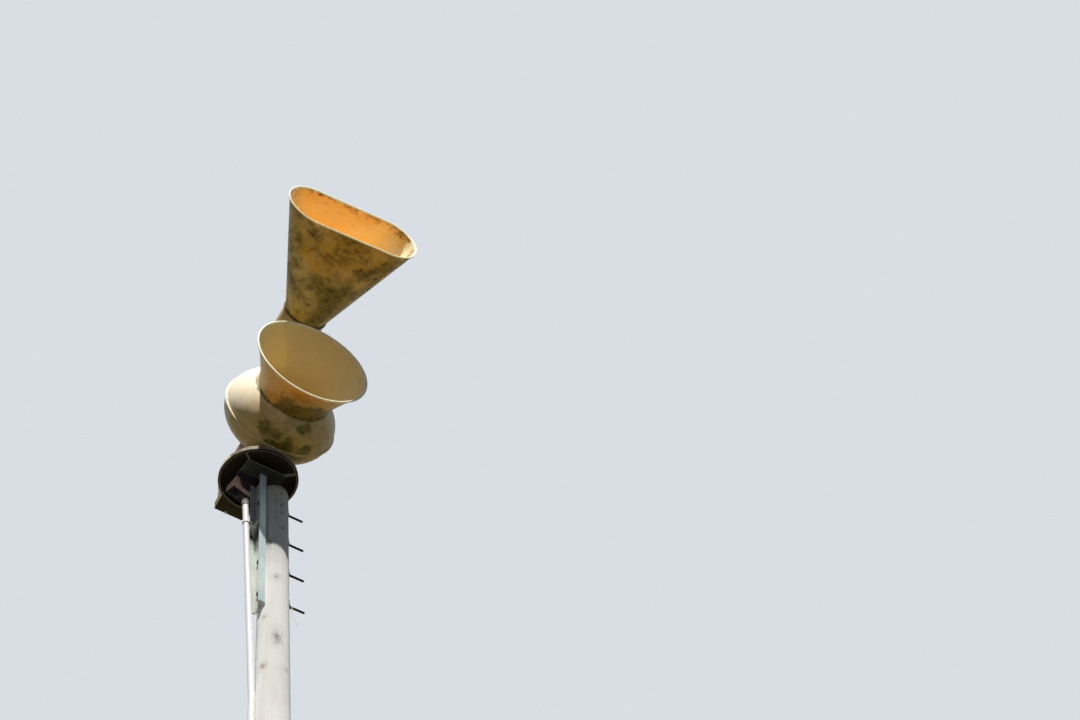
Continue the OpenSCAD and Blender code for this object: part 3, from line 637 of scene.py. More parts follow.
        # A copy of the zinc for the channel's inner faces. Near their top it has a dark band that is partly
        # grime and partly painted shadow.
        self.zinc_inner = Zinc("galvanised_inner", srgb(222, 226, 220), srgb(208, 213, 207),
                               srgb(234, 237, 230), metal=0.0, grime_and_painted_shadow_span=(12.60, 12.96)).build()
        self.zinc_dark = Zinc("galvanised_dirty", srgb(66, 67, 60), srgb(48, 50, 46), srgb(80, 81, 72),
                              srgb(58, 40, 28), rust_share=0.3, metal=0.0).build()
        self.plate_edge = Zinc("plate_edge", srgb(176, 176, 160), srgb(140, 140, 128), srgb(190, 190, 176),
                               rust_share=0.3, metal=0.0).build()
        self.wire = Zinc("tie_wire", srgb(226, 228, 226), srgb(196, 200, 200), srgb(236, 236, 232),
                         rust_share=0.0, metal=0.0).build()
        self.iron = Iron("dark_iron").build()
        self.sheath = Iron("lead_sheath", srgb(30, 29, 28), srgb(46, 42, 38), rust_share=0.2).build()
        self.bolt = Iron("bolt_iron", srgb(26, 26, 28), srgb(54, 40, 34), rust_share=0.25).build()
        self.timber = Timber(top_z=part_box("pole_shaft")[1].z).build()
        self.plastic = Plastic().build()


# Modelling helpers

@dataclass(frozen=True)
class Station:
    """One ring of a loft: a circle, or a slot of two half circles, in a plane."""

    matrix: Matrix
    radius: float
    half_flat: float = 0.0


def moved(bm: BMesh, matrix: Matrix) -> BMesh:
    """Moves a whole mesh and returns it."""
    bmesh.ops.transform(bm, matrix=matrix, verts=bm.verts)
    return bm


def arc(middle: tuple[float, float], radius: float, start: float, step: float, count: int) -> Outline:
    """Returns points of radius and height on an arc.

    Args:
        middle: The arc's middle.
        radius: The arc's own radius.
        start: Angle of the first point in degrees.
        step: Angle between two points in degrees.
        count: How many points.

    Returns:
        The points in order.
    """
    ways = [math.radians(start + step * i) for i in range(count)]
    return [(middle[0] + radius * math.cos(way), middle[1] + radius * math.sin(way)) for way in ways]


def turned(outline: Outline, steps: int = 96, closed: bool = True, facing: Facing = Facing.UP,
           start: float = 0.0, sweep: float = math.tau) -> BMesh:
    """Turns an outline of radius and height about its own axis.

    Args:
        outline: Points of radius and height.
        steps: Steps of the turn.
        closed: Whether the last point joins the first.
        facing: Where the heights run.
        start: Angle at which the turn starts.
        sweep: Angle of the turn, its ends filled where it isn't full.

    Returns:
        The turned mesh, its faces pointing outwards.
    """
    bm = bmesh.new()
    verts = [bm.verts.new((radius, 0.0, height)) for radius, height in outline]
    edges = [bm.edges.new(pair) for pair in zip(verts, verts[1:])]
    if closed:
        edges.append(bm.edges.new((verts[-1], verts[0])))
    bmesh.ops.rotate(bm, verts=verts, cent=(0, 0, 0), matrix=Matrix.Rotation(start, 3, "Z"))
    full = sweep >= math.tau - 1e-6
    if not full:
        bmesh.ops.contextual_create(bm, geom=edges)
    spun = bmesh.ops.spin(bm, geom=[*verts, *edges], cent=(0, 0, 0), axis=(0, 0, 1), angle=sweep,
                          steps=steps, use_merge=full)
    if not full:
        ends = [g for g in spun["geom_last"] if isinstance(g, bmesh.types.BMEdge)]
        bmesh.ops.contextual_create(bm, geom=ends)
    bmesh.ops.remove_doubles(bm, verts=bm.verts, dist=1e-6)
    bmesh.ops.recalc_face_normals(bm, faces=bm.faces)
    return moved(bm, LOOK_AHEAD) if facing is Facing.AHEAD else bm


def loft(stations: Sequence[Station], segments: int = 96, closed: bool = False, caps: bool = False) -> BMesh:
    """Joins a row of rings with faces.

    Args:
        stations: The rings in order.
        segments: Points on each ring.
        closed: Whether the last ring joins the first.
        caps: Whether both ends are filled.

    Returns:
        The lofted mesh, its faces pointing outwards.
    """
    bm = bmesh.new()
    rings: list[list[bmesh.types.BMEdge]] = []
    for station in stations:
        verts = bmesh.ops.create_circle(bm, cap_ends=False, radius=station.radius, segments=segments)["verts"]
        for side in (-1, 1):
            half = [v for v in verts if v.co.x * side > 1e-5]
            bmesh.ops.translate(bm, verts=half, vec=(side * station.half_flat, 0, 0))
        bmesh.ops.transform(bm, matrix=station.matrix, verts=verts)
        rings.append(list({edge for vert in verts for edge in vert.link_edges}))
    pairs = list(zip(rings, rings[1:])) + ([(rings[-1], rings[0])] if closed else [])
    for first, second in pairs:
        bmesh.ops.bridge_loops(bm, edges=[*first, *second])
    if caps:
        for ring in (rings[0], rings[-1]):
            bmesh.ops.contextual_create(bm, geom=ring)
    bmesh.ops.recalc_face_normals(bm, faces=bm.faces)
    return bm


def along(points: Sequence[Vector], radius: float | Callable[[float], float]) -> list[Station]:
    """Returns rings set square to a path.

    Args:
        points: The path.
        radius: The rings' radius, or a function of the part of the path from 0 to 1.

    Returns:
        One ring for each point.
    """
    stations = []
    last = len(points) - 1
    for i, point in enumerate(points):
        way = (points[min(i + 1, last)] - points[max(i - 1, 0)]).normalized()
        turn = way.to_track_quat("Z", "Y").to_matrix().to_4x4()
        size = radius(i / last) if callable(radius) else radius
        stations.append(Station(Matrix.Translation(point) @ turn, size))
    return stations


def add_block(bm: BMesh, low: Point, high: Point, bevel: float = 0.0, matrix: Matrix | None = None) -> None:
    """Adds a box with bevelled edges.

    Args:
        bm: Mesh that gets the box.
        low: Its lowest corner.
        high: Its highest corner.
        bevel: Width of the bevels.
        matrix: Where the box goes.
    """
    middle = (Vector(low) + Vector(high)) / 2
    size = Vector(high) - Vector(low)
    seat = Matrix.Translation(middle) @ Matrix.Diagonal((*size, 1.0))
    verts = bmesh.ops.create_cube(bm, size=1.0, matrix=(matrix or Matrix()) @ seat)["verts"]
    if bevel:
        edges = list({edge for vert in verts for edge in vert.link_edges})
        bmesh.ops.bevel(bm, geom=edges, offset=bevel, offset_type="OFFSET", affect="EDGES", segments=2,
                        profile=0.5, material=-1)


def add_disc(bm: BMesh, matrix: Matrix, radius: float, height: float, segments: int = 20,
             top: float | None = None) -> None:
    """Adds a round or many-sided boss that stands on its place.

    Args:
        bm: Mesh that gets the boss.
        matrix: Its place, with Z along it.
        radius: Radius at its foot.
        height: Height above its foot.
        segments: Sides.
        top: Radius at its top.
    """
    bmesh.ops.create_cone(bm, cap_ends=True, cap_tris=False, segments=segments, radius1=radius,
                          radius2=radius if top is None else top, depth=height,
                          matrix=matrix @ move_by(0, 0, height / 2))


def add_bolt(bm: BMesh, matrix: Matrix, across: float, washer: bool = True, sides: int = 6) -> None:
    """Adds a bolt head, with its washer, that stands on its place.

    Args:
        bm: Mesh that gets the bolt.
        matrix: Its place, with Z along the bolt.
        across: Width across the head's corners.
        washer: Whether a washer lies under it.
        sides: Sides of the head.
    """
    lift = 0.0
    if washer:
        lift = across * 0.1
        add_disc(bm, matrix, across * 0.92, lift, 20)
    head = across * 0.42
    add_disc(bm, matrix @ move_by(0, 0, lift), across / 2, head * 0.82, sides)
    crown = matrix @ move_by(0, 0, lift + head * 0.82)
    add_disc(bm, crown, across / 2, head * 0.18, sides, across * 0.4)


def around(count: int, radius: float, start: float = 0.0, sweep: float = math.tau) -> list[Matrix]:
    """Returns places on a circle, each with Z outwards from the middle.

    Args:
        count: How many.
        radius: The circle's radius.
        start: Angle of the first one.
        sweep: Angle over which they are spread.

    Returns:
        The places.
    """
    out = turn_by(90, "Y")
    step = sweep / count if sweep >= math.tau - 1e-6 else sweep / (count - 1)
    return [turn_z(start + step * i) @ move_by(radius, 0, 0) @ out for i in range(count)]


def upright_ring(count: int, radius: float, height: float, start: float = 0.0) -> list[Matrix]:
    """Returns places on a circle, each with Z along the circle's axis."""
    step = math.tau / count
    return [turn_z(start + step * i) @ move_by(radius, 0, height) for i in range(count)]


def paint(bm: BMesh, rule: Callable[[Vector, Vector], int]) -> BMesh:
    """Gives each face the material that a rule names by its middle and normal."""
    bm.normal_update()
    for face in bm.faces:
        face.material_index = rule(face.calc_center_median(), face.normal)
    return bm


def looks_down(middle: Vector, normal: Vector) -> int:
    """Returns 1 for a face that looks down."""
    return 1 if normal.z < -0.9 else 0


def soil(bm: BMesh, rule: Callable[[Vector], float]) -> BMesh:
    """Writes into a mesh how dirty each place is, from 0 to 1, as a rule says."""
    layer = bm.verts.layers.float.new("soil")
    for vert in bm.verts:
        vert[layer] = rule(vert.co)
    return bm


def blots(spots: Sequence[tuple[Point, float]]) -> Callable[[Vector], float]:
    """Returns a rule for soil that fades out round a few places.

    Args:
        spots: Each place with its radius.

    Returns:
        The rule.
    """
    def rule(place: Vector) -> float:
        """Returns the strongest blot at a place."""
        return max(math.exp(-((place - Vector(middle)).length / radius) ** 2) for middle, radius in spots)
    return rule


def wobble(place: Vector, scale: float, size: float) -> float:
    """Returns a smooth random number from -size to size that depends on a place."""
    return noise.noise(place * scale) * size


@dataclass
class Assembly:
    """A sub-assembly that makes its pieces and dresses its frame nodes."""

    finishes: Finishes
    body: Body = Body.MAST
    made: list[bpy.types.Object] = field(default_factory=list)

    def keep(self, name: str, bm: BMesh, materials: Sequence[bpy.types.Material], slot: Slot,
             replaces: Iterable[str] = (), sharp: float = 35.0) -> bpy.types.Object:
        """Turns a mesh into a finished piece that rides on the assembly's body.

        Args:
            name: The piece's name.
            bm: Its mesh, freed here.
            materials: Its materials in order of their index.
            slot: Not used.
            replaces: Frame nodes that it stands for.
            sharp: Angle in degrees past which an edge stays sharp.

        Returns:
            The new object.
        """
        mesh = bpy.data.meshes.new(name)
        bm.to_mesh(mesh)
        bm.free()
        mesh.shade_smooth()
        mesh.set_sharp_from_angle(angle=math.radians(sharp))
        for material in materials:
            mesh.materials.append(material)
        piece = bpy.data.objects.new(name, mesh)
        bpy.context.scene.collection.objects.link(piece)
        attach(piece, self.body.value)
        nodes = list(replaces)
        if nodes:
            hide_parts(*nodes)
        self.made.append(piece)
        LOG.info("%s: %d faces on %s", name, len(mesh.polygons), self.body.value)
        return piece

    def join(self, name: str, parts: Sequence[BMesh], materials: Sequence[bpy.types.Material], slot: Slot,
             replaces: Iterable[str] = ()) -> bpy.types.Object:
        """Keeps several meshes as one piece.

        Args:
            name: The piece's name.
            parts: The meshes, freed here.
            materials: Its materials in order of their index.
            slot: Not used.
            replaces: Frame nodes that it stands for.

        Returns:
            The new object.
        """
        whole = bmesh.new()
        for part in parts:
            scrap = bpy.data.meshes.new("part")
            part.to_mesh(scrap)
            part.free()
            whole.from_mesh(scrap)
            bpy.data.meshes.remove(scrap)
        return self.keep(name, whole, materials, slot, replaces)

    def dress(self, node: str, material: bpy.types.Material) -> None:
        """Gives a frame node that stays as it is its finish."""
        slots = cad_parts[node].data.materials
        slots.clear()
        slots.append(material)

    def soften(self, node: str, material: bpy.types.Material, slot: Slot, width: float = 0.002,
               others: Sequence[bpy.types.Material] = (), rule: Callable[[Vector, Vector], int] = looks_down,
               cut: float | None = None) -> bpy.types.Object:
        """Stands a copy with softened edges in for a frame node.

        Args:
            node: The frame node.
            material: The copy's material.
            slot: Not used.
            width: Width of the softened edges.
            others: Further materials.
            rule: Picks each face's material where there are others.
            cut: Distance along Y at which the faces are split first.

        Returns:
            The copy.
        """
        bm = bmesh.new()
        bm.from_mesh(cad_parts[node].data)
        bmesh.ops.remove_doubles(bm, verts=bm.verts, dist=2e-5)
        bmesh.ops.dissolve_limit(bm, angle_limit=math.radians(1.0), verts=bm.verts, edges=bm.edges)
        bmesh.ops.recalc_face_normals(bm, faces=bm.faces)
        if cut is not None:
            bmesh.ops.bisect_plane(bm, geom=[*bm.verts, *bm.edges, *bm.faces], plane_co=(0, cut, 0),
                                   plane_no=(0, 1, 0))
        if others:
            paint(bm, rule)
        piece = self.keep(f"{node}_finished", bm, [material, *others], slot, [node])
        soft = piece.modifiers.new("edges", "BEVEL")
        soft.width = width
        soft.segments = 2
        soft.limit_method = "ANGLE"
        soft.angle_limit = math.radians(35)
        soft.harden_normals = True
        return piece


# The pole

@dataclass(frozen=True)
class Mark:
    """A hole or knot in the timber.

    Its angle is its direction from the pole's middle in degrees. A nail hole has no smudge round it.
    """

    angle: float
    height: float
    radius: float
    depth: float
    smudge: float = 0.0
    tall: float = 1.0


@dataclass
class Pole(Assembly):
    """The round timber pole, with its flat seat, checks, knots and holes."""

    top_r: float = POLE_TOP_R
    foot_r: float = POLE_FOOT_R
    crown_r: float = 0.030
    seat_x: float = 0.118
    shoulder: float = 0.24
    washer_half: float = 0.035
    columns: int = 150
    rows: int = 430
    fine_part: float = 0.5
    fine_l: float = 3.2
    check_count: int = 16
    knot_count: int = 38
    bare_from: float = 10.8
    bare_ways: tuple[float, float] = (-170, -60)
    top_checks: tuple[Point, ...] = (
        (-112, 0.7, 0.0022), (-128, 0.35, 0.0016), (-60, 1.1, 0.003), (35, 0.9, 0.006), (120, 1.4, 0.005),
        (170, 0.5, 0.004),
    )
    marks: tuple[Mark, ...] = (
        Mark(-89.6, 13.145, 0.014, 0.010), Mark(-87.5, 12.990, 0.014, 0.012),
        Mark(-86.3, 12.893, 0.014, 0.012), Mark(-83.4, 12.708, 0.015, 0.012),
        Mark(-133.0, 12.500, 0.014, 0.006, 0.7, 0.6),
        Mark(-108.9, 12.077, 0.012, 0.004, 0.5, 1.0), Mark(-105.4, 11.401, 0.015, 0.006, 0.75, 0.5),
        Mark(-159.3, 11.104, 0.012, 0.006, 0.8, 1.0), Mark(-152.0, 11.635, 0.008, 0.004, 0.5, 1.0),
        Mark(-71.1, 11.085, 0.010, 0.004, 0.4, 1.0),
    )

    def __post_init__(self) -> None:
        """Takes the pole's heights from the frame and sets out its checks and other knots."""
        self.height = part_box("pole_shaft")[1].z
        self.seat_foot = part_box("mounting_channel")[0].z
        self.bolts = [node_middle(f"bolt_nut_{i}") for i in range(1, 5)]
        self.washer_x = [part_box(f"bolt_nut_{i}")[0].x for i in range(1, 5)]
        rng = random.Random(11)
        self.checks = []
        for _ in range(self.check_count):
            length = rng.uniform(0.5, 3.2)
            start = rng.uniform(0.0, self.height - 0.4)
            way = rng.uniform(-math.pi, math.pi)
            self.checks.append((way, start, start + length, rng.uniform(0.0008, 0.0026)))
        self.checks += [(math.radians(way), self.height - length, self.height + 1.0, depth)
                        for way, length, depth in self.top_checks]
        self.knots = list(self.marks)
        for _ in range(self.knot_count):
            height = rng.uniform(0.4, 12.4)
            angle = rng.uniform(-180, 180)
            if height > self.bare_from and self.bare_ways[0] < angle < self.bare_ways[1]:
                continue
            self.knots.append(Mark(angle, height, rng.uniform(0.008, 0.018), rng.uniform(0.003, 0.007),
                                   rng.uniform(0.4, 1.0), rng.uniform(0.5, 1.2)))

    def radius_at(self, height: float) -> float:
        """Returns the pole's radius at a height, with the worn crown."""
        radius = self.foot_r + (self.top_r - self.foot_r) * height / self.height
        into = height - (self.height - self.crown_r)
        if into > 0:
            radius -= self.crown_r - math.sqrt(max(self.crown_r ** 2 - into ** 2, 0.0))
        return radius

    def relief(self, angle: float, height: float) -> tuple[float, float, float]:
        """Works out the surface at one place.

        Args:
            angle: Direction from the middle.
            height: Height above the ground.

        Returns:
            How deep the surface lies, and how much of a pit and of a smudge is there.
        """
        radius = self.radius_at(height)
        spot = Vector((math.cos(angle), math.sin(angle), height * 0.35))
        deep = 0.0022 + wobble(spot, 1.7, 0.0022)
        pit = 0.0
        for middle, low, high, depth in self.checks:
            if not low < height < high:
                continue
            drift = wobble(Vector((middle * 7, low, height * 0.6)), 1.0, 0.05)
            off = math.remainder(angle - middle - drift, math.tau) * radius
            if abs(off) > 0.012:
                continue
            ends = min(1.0, (height - low) / 0.25, (high - height) / 0.25)
            share = ends * math.exp(-(off / 0.0038) ** 2)
            deep += depth * share
            pit = max(pit, share * min(1.0, depth / 0.003))
        smudge = 0.0
        for mark in self.knots:
            up = (height - mark.height) * mark.tall
            if abs(up) > 0.12:
                continue
            side = math.remainder(angle - math.radians(mark.angle), math.tau) * radius
            gap = math.hypot(side, up)
            if gap < mark.radius * 7:
                share = math.exp(-(gap / mark.radius) ** 2)
                deep += mark.depth * share
                pit = max(pit, share if mark.smudge else 1.7 * share)
                smudge = max(smudge, mark.smudge * 0.8 * math.exp(-(gap / (mark.radius * 3.2)) ** 2))
        return deep, pit, smudge

    def seat_at(self, height: float) -> float:
        """Returns how far the surface may reach towards the channel at a height."""
        below = (self.seat_foot - height) / self.shoulder
        if below <= 0:
            return self.seat_x
        return self.seat_x + 0.018 * min(below, 1.0) ** 1.6 + (1.0 if below >= 1.0 else 0.0)

    def build(self) -> None:
        """Makes the pole from a wrapped grid."""
        bm = bmesh.new()
        pit_layer = bm.verts.layers.float.new("pit")
        smudge_layer = bm.verts.layers.float.new("smudge")
        bmesh.ops.create_grid(bm, x_segments=self.columns, y_segments=self.rows, size=0.5)
        coarse = 1.0 - self.fine_part
        coarse_l = self.height - self.fine_l
        for vert in bm.verts:
            part = vert.co.y + 0.5
            height = (part / coarse * coarse_l if part < coarse
                      else coarse_l + (part - coarse) / self.fine_part * self.fine_l)
            angle = vert.co.x * math.tau
            deep, vert[pit_layer], vert[smudge_layer] = self.relief(angle, height)
            radius = self.radius_at(height) - (deep if height < self.height - 0.002 else deep * 0.5)
            x, y = radius * math.cos(angle), radius * math.sin(angle)
            x = max(x, -self.seat_at(height))
            for bolt, face in zip(self.bolts, self.washer_x):
                if abs(height - bolt.z) < self.washer_half * 1.3 and abs(y) < self.washer_half * 1.3:
                    x = min(x, face)
            vert.co = (x, y, height)
        bmesh.ops.remove_doubles(bm, verts=bm.verts, dist=1e-4)
        for end in (0.0, self.height):
            rim = [e for e in bm.edges if e.is_boundary and abs(e.verts[0].co.z - end) < 1e-4]
            grown = bmesh.ops.extrude_edge_only(bm, edges=rim)["geom"]
            inner = [g for g in grown if isinstance(g, bmesh.types.BMVert)]
            bmesh.ops.scale(bm, vec=(0.55, 0.55, 1.0), verts=inner)
            bmesh.ops.contextual_create(bm, geom=[g for g in grown if isinstance(g, bmesh.types.BMEdge)])
        bmesh.ops.recalc_face_normals(bm, faces=bm.faces)
        self.keep("timber_pole", bm, [self.finishes.timber], Slot.TIMBER, ["pole_shaft"], sharp=60)


@dataclass
class Mounting(Assembly):
    """The channel on the pole's flat seat, the top plate, its spokes and their welds and bolts."""

    bolt_count: int = 4
    thread_pitch: float = 0.0028
    bolt_r: float = 0.010
    washer_t: float = 0.006
    nut_t: float = 0.016
    nut_half: float = 0.0165
    channel_t: float = 0.009
    painted_shade_y: float = -0.012

    def build(self) -> None:
        """Makes the channel, plate, spokes and bolts."""
        finishes = self.finishes
        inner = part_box("mounting_channel")[1].y - self.channel_t / 2
        # The channel's inner faces take the copy that has the band of painted shadow.
        self.soften("mounting_channel", finishes.zinc, Slot.GALVANISED, 0.003, [finishes.zinc_inner],
                    lambda middle, normal: 1 if abs(middle.y) < inner and abs(normal.z) < 0.5 else 0)
        # The plate's underside is darker than its edges and top, from dirt and painted shade. Its far part is
        # painted near-black as shade.
        self.soften("top_plate", finishes.plate_edge, Slot.GALVANISED, 0.002,
                    [finishes.zinc_dark, finishes.plate_painted_shade], self.plate_skin, self.painted_shade_y)
        for i in range(1, 4):
            self.soften(f"spoke_{i}", finishes.plate_edge, Slot.GALVANISED, 0.001)
        # The hanger is painted near-black as shade.
        self.soften("gearbox_hanger", finishes.plate_painted_shade, Slot.GALVANISED, 0.0015)
        for i in range(1, self.bolt_count + 1):
            self.build_bolt(i)
        self.build_welds()
        self.build_tie_wire()

    def plate_skin(self, middle: Vector, normal: Vector) -> int:
        """Picks the plate's edge and top, its darker underside (dirt and painted shade), or that underside's
        far part, which is painted near-black as shade.
        """
        return looks_down(middle, normal) * (2 if middle.y > self.painted_shade_y else 1)

    def build_bolt(self, index: int) -> None:
        """Makes one through bolt with its thread, and its washer with nuts.

        Args:
            index: The bolt's number, from the top.
        """
        low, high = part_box(f"through_bolt_{index}")
        nut_low, nut_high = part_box(f"bolt_nut_{index}")
        z = (low.z + high.z) / 2
        side = (high.z - low.z) / 2
        lie = move_by(0, 0, z) @ turn_by(90, "Y")
        start, end = nut_low.x - 0.03, high.x - 0.004
        outline: Outline = [(0.0, low.x + 0.012), (self.bolt_r, low.x + 0.012), (self.bolt_r, start)]
        steps = int((end - start) / self.thread_pitch)
        for i in range(steps):
            at = start + i * self.thread_pitch
            outline += [(self.bolt_r - 0.0012, at + self.thread_pitch * 0.25),
                        (self.bolt_r, at + self.thread_pitch * 0.75)]
        outline += [(self.bolt_r - 0.003, high.x), (0.0, high.x)]
        bm = turned(outline, steps=20, closed=False)
        moved(bm, lie)
        add_block(bm, (low.x, -side, z - side), (low.x + 0.016, side, z + side), 0.002)
        self.keep(f"bolt_{index}", bm, [self.finishes.bolt], Slot.DARK_STEEL, [f"through_bolt_{index}"],
                  sharp=28)
        bm = bmesh.new()
        half = (nut_high.y - nut_low.y) / 2
        seat = nut_low.x + self.washer_t
        add_block(bm, (nut_low.x, -half, z - half), (seat, half, z + half), 0.001)
        tilt = move_by(0, 0, z) @ turn_by(9 * index, "X")
        wide = self.nut_half
        add_block(bm, (seat, -wide, -wide), (seat + self.nut_t, wide, wide), 0.0022, tilt)
        self.keep(f"washer_and_nut_{index}", bm, [self.finishes.bolt], Slot.DARK_STEEL, [f"bolt_nut_{index}"])

    def build_welds(self) -> None:
        """Makes the weld beads where the channel meets the plate."""
        low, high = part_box("mounting_channel")
        top = high.z - 0.002
        beads = []
        lines = [((low.x, low.y, top), (high.x, low.y, top)), ((low.x, high.y, top), (high.x, high.y, top)),
                 ((high.x, low.y, top), (high.x, high.y, top))]
        for index, (start, end) in enumerate(lines):
            a, b = Vector(start), Vector(end)
            count = int((b - a).length / 0.004)
            path = [a.lerp(b, i / count) for i in range(count + 1)]
            ripple = along(path, lambda part, k=index: 0.0042 + 0.0009 * math.sin(part * 90 + k))
            beads.append(loft(ripple, 8, caps=True))
        self.join("channel_welds", beads, [self.finishes.zinc_dark], Slot.GALVANISED)

    def build_tie_wire(self) -> None:
        """Makes the short end of tie wire that is twisted round the lowest bolt."""
        low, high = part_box(f"bolt_nut_{self.bolt_count}")
        x = high.x + 0.012
        z = (low.z + high.z) / 2
        reach = self.bolt_r + 0.0022
        path = [Vector((x + 0.004 * t, reach * math.cos(t * math.tau), z + reach * math.sin(t * math.tau)))
                for t in (i / 16 for i in range(41))]
        tail = [Vector((x + 0.012, -0.006, z - 0.03)), Vector((x + 0.010, -0.022, z - 0.09)),
                Vector((x + 0.004, -0.045, z - 0.16)), Vector((x + 0.006, -0.070, z - 0.225)),
                Vector((x + 0.010, -0.088, z - 0.285))]
        path += tail
        bm = loft(along(path, 0.0036), 8, caps=True)
        self.keep("tie_wire_end", bm, [self.finishes.wire], Slot.GALVANISED)


# The fixed pieces on top of the pole

@dataclass
class Bearing(Assembly):
    """The fixed bearing that carries the head, with its ribs and cap screws."""

    foot_r: float = 0.150
    foot_t: float = 0.014
    body_r: float = 0.114
    neck_r: float = 0.100
    bore_r: float = 0.041
    hood_t: float = 0.005
    screw_count: int = 8
    screw_ring: float = 0.134

    def build(self) -> None:
        """Makes the housing with its ribs and the screws of its foot."""
        low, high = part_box("bearing_housing")
        foot = low.z + self.foot_t
        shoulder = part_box("hood")[1].z - self.hood_t
        flange, body, neck, bore = self.foot_r, self.body_r, self.neck_r, self.bore_r
        outline: Outline = [(0.0, low.z), (flange - 0.002, low.z), (flange, low.z + 0.002),
                            (flange, foot - 0.003), (flange - 0.003, foot), (body + 0.008, foot),
                            (body + 0.002, foot + 0.003), (body, foot + 0.009), (body, shoulder - 0.005),
                            (body - 0.005, shoulder - 0.0005), (neck, shoulder - 0.0005),
                            (neck, high.z - 0.003), (neck - 0.003, high.z), (bore, high.z), (bore, foot),
                            (0.0, foot)]
        bm = moved(turned(outline, closed=False), ON_AXIS)
        for seat in upright_ring(self.screw_count, self.screw_ring, foot, math.radians(22.5)):
            add_bolt(bm, ON_AXIS @ seat, 0.018)
        for seat in upright_ring(self.screw_count, 0.0, foot):
            add_block(bm, (body - 0.004, -0.004, 0.0), (body + 0.020, 0.004, 0.042), 0.0015, ON_AXIS @ seat)
        # The bearing is painted near-black as shade.
        self.keep("bearing", bm, [self.finishes.shade], Slot.GREY, ["bearing_housing"])


@dataclass
class Hood(Assembly):
    """The shallow pan over the bearing, with a rolled bead round its rim. The bead's underside is painted
    dark as shade and its inner edge is painted pale as a highlight.
    """

    outer_r: float = 0.335
    crown_r: float = 0.175
    thick: float = 0.005
    rise: float = 0.050
    neck_r: float = 0.101
    bead_r: float = 0.010
    bead_out: float = 0.003
    rivet_count: int = 16
    rivet_r: float = 0.0045
    rivet_h: float = 0.0022
    rivet_drop: float = 0.022
    dirt_and_shade_way: tuple[float, float] = (-0.31, -0.95)

    def grime(self, place: Vector) -> float:
        """Returns how dirty the pan is: most on its side under the ball, where the soil is dirt and partly
        painted shade.
        """
        return max(0.0, min(1.0, 2.6 * place.xy.normalized().dot(Vector(self.dirt_and_shade_way)) - 0.7))

    def build(self) -> None:
        """Makes the pan, its bead and its rivets."""
        low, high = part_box("hood")
        foot, top = low.z + self.bead_r, high.z
        shoulder = top - self.rise
        mid = self.outer_r + self.bead_out - self.bead_r
        outer, crown, neck, under = self.outer_r, self.crown_r, self.neck_r, top - self.thick
        inner = outer - self.thick
        outline: Outline = [(outer, foot + 0.004), (outer, shoulder - 0.012),
                            (outer - 0.001, shoulder - 0.004), (outer - 0.006, shoulder + 0.003),
                            (crown + 0.012, top - 0.0035),
                            (crown, top - 0.0008), (crown - 0.014, top), (neck + 0.012, top),
                            (neck + 0.002, top), (neck, top - 0.001), (neck, under), (crown - 0.012, under),
                            (crown + 0.004, under - 0.003), (inner - 0.006, shoulder - 0.003),
                            (inner - 0.001, shoulder - 0.009), (inner, shoulder - 0.016),
                            (inner, foot + 0.009)]
        outline += arc((mid, foot), self.bead_r, 80, 20, 17)
        bm = turned(outline, steps=144)
        skin_foot = foot + 0.004

        def skin(middle: Vector, normal: Vector) -> int:
            """Picks outside, inside (painted shade), the painted shade under the bead, or the painted
            highlight on its inner edge, by place.
            """
            radius = math.hypot(middle.x, middle.y)
            if middle.z < skin_foot:
                return 2 if radius > mid - 0.003 else 3
            if middle.z < foot + self.bead_r and radius < mid:
                return 3
            outwards = normal.x * middle.x + normal.y * middle.y
            return 0 if outwards > 0 and normal.z > -0.2 or normal.z > 0.7 else 1
        paint(bm, skin)
        soil(bm, self.grime)
        moved(bm, ON_AXIS)
        finishes = self.finishes
        self.keep("hood_pan", bm, [finishes.hood, finishes.hood_in, finishes.hood_edge_painted_shade, finishes.hood_lip_painted_highlight],
                  Slot.TAN, ["hood"])
        bm = bmesh.new()
        for seat in around(self.rivet_count, self.outer_r - 0.0004, math.radians(11)):
            lifted = move_by(0, 0, shoulder - self.rivet_drop) @ seat
            add_disc(bm, ON_AXIS @ lifted, self.rivet_r, self.rivet_h, 12, 0.002)
        self.keep("hood_rivets", bm, [finishes.zinc_dark], Slot.GALVANISED)


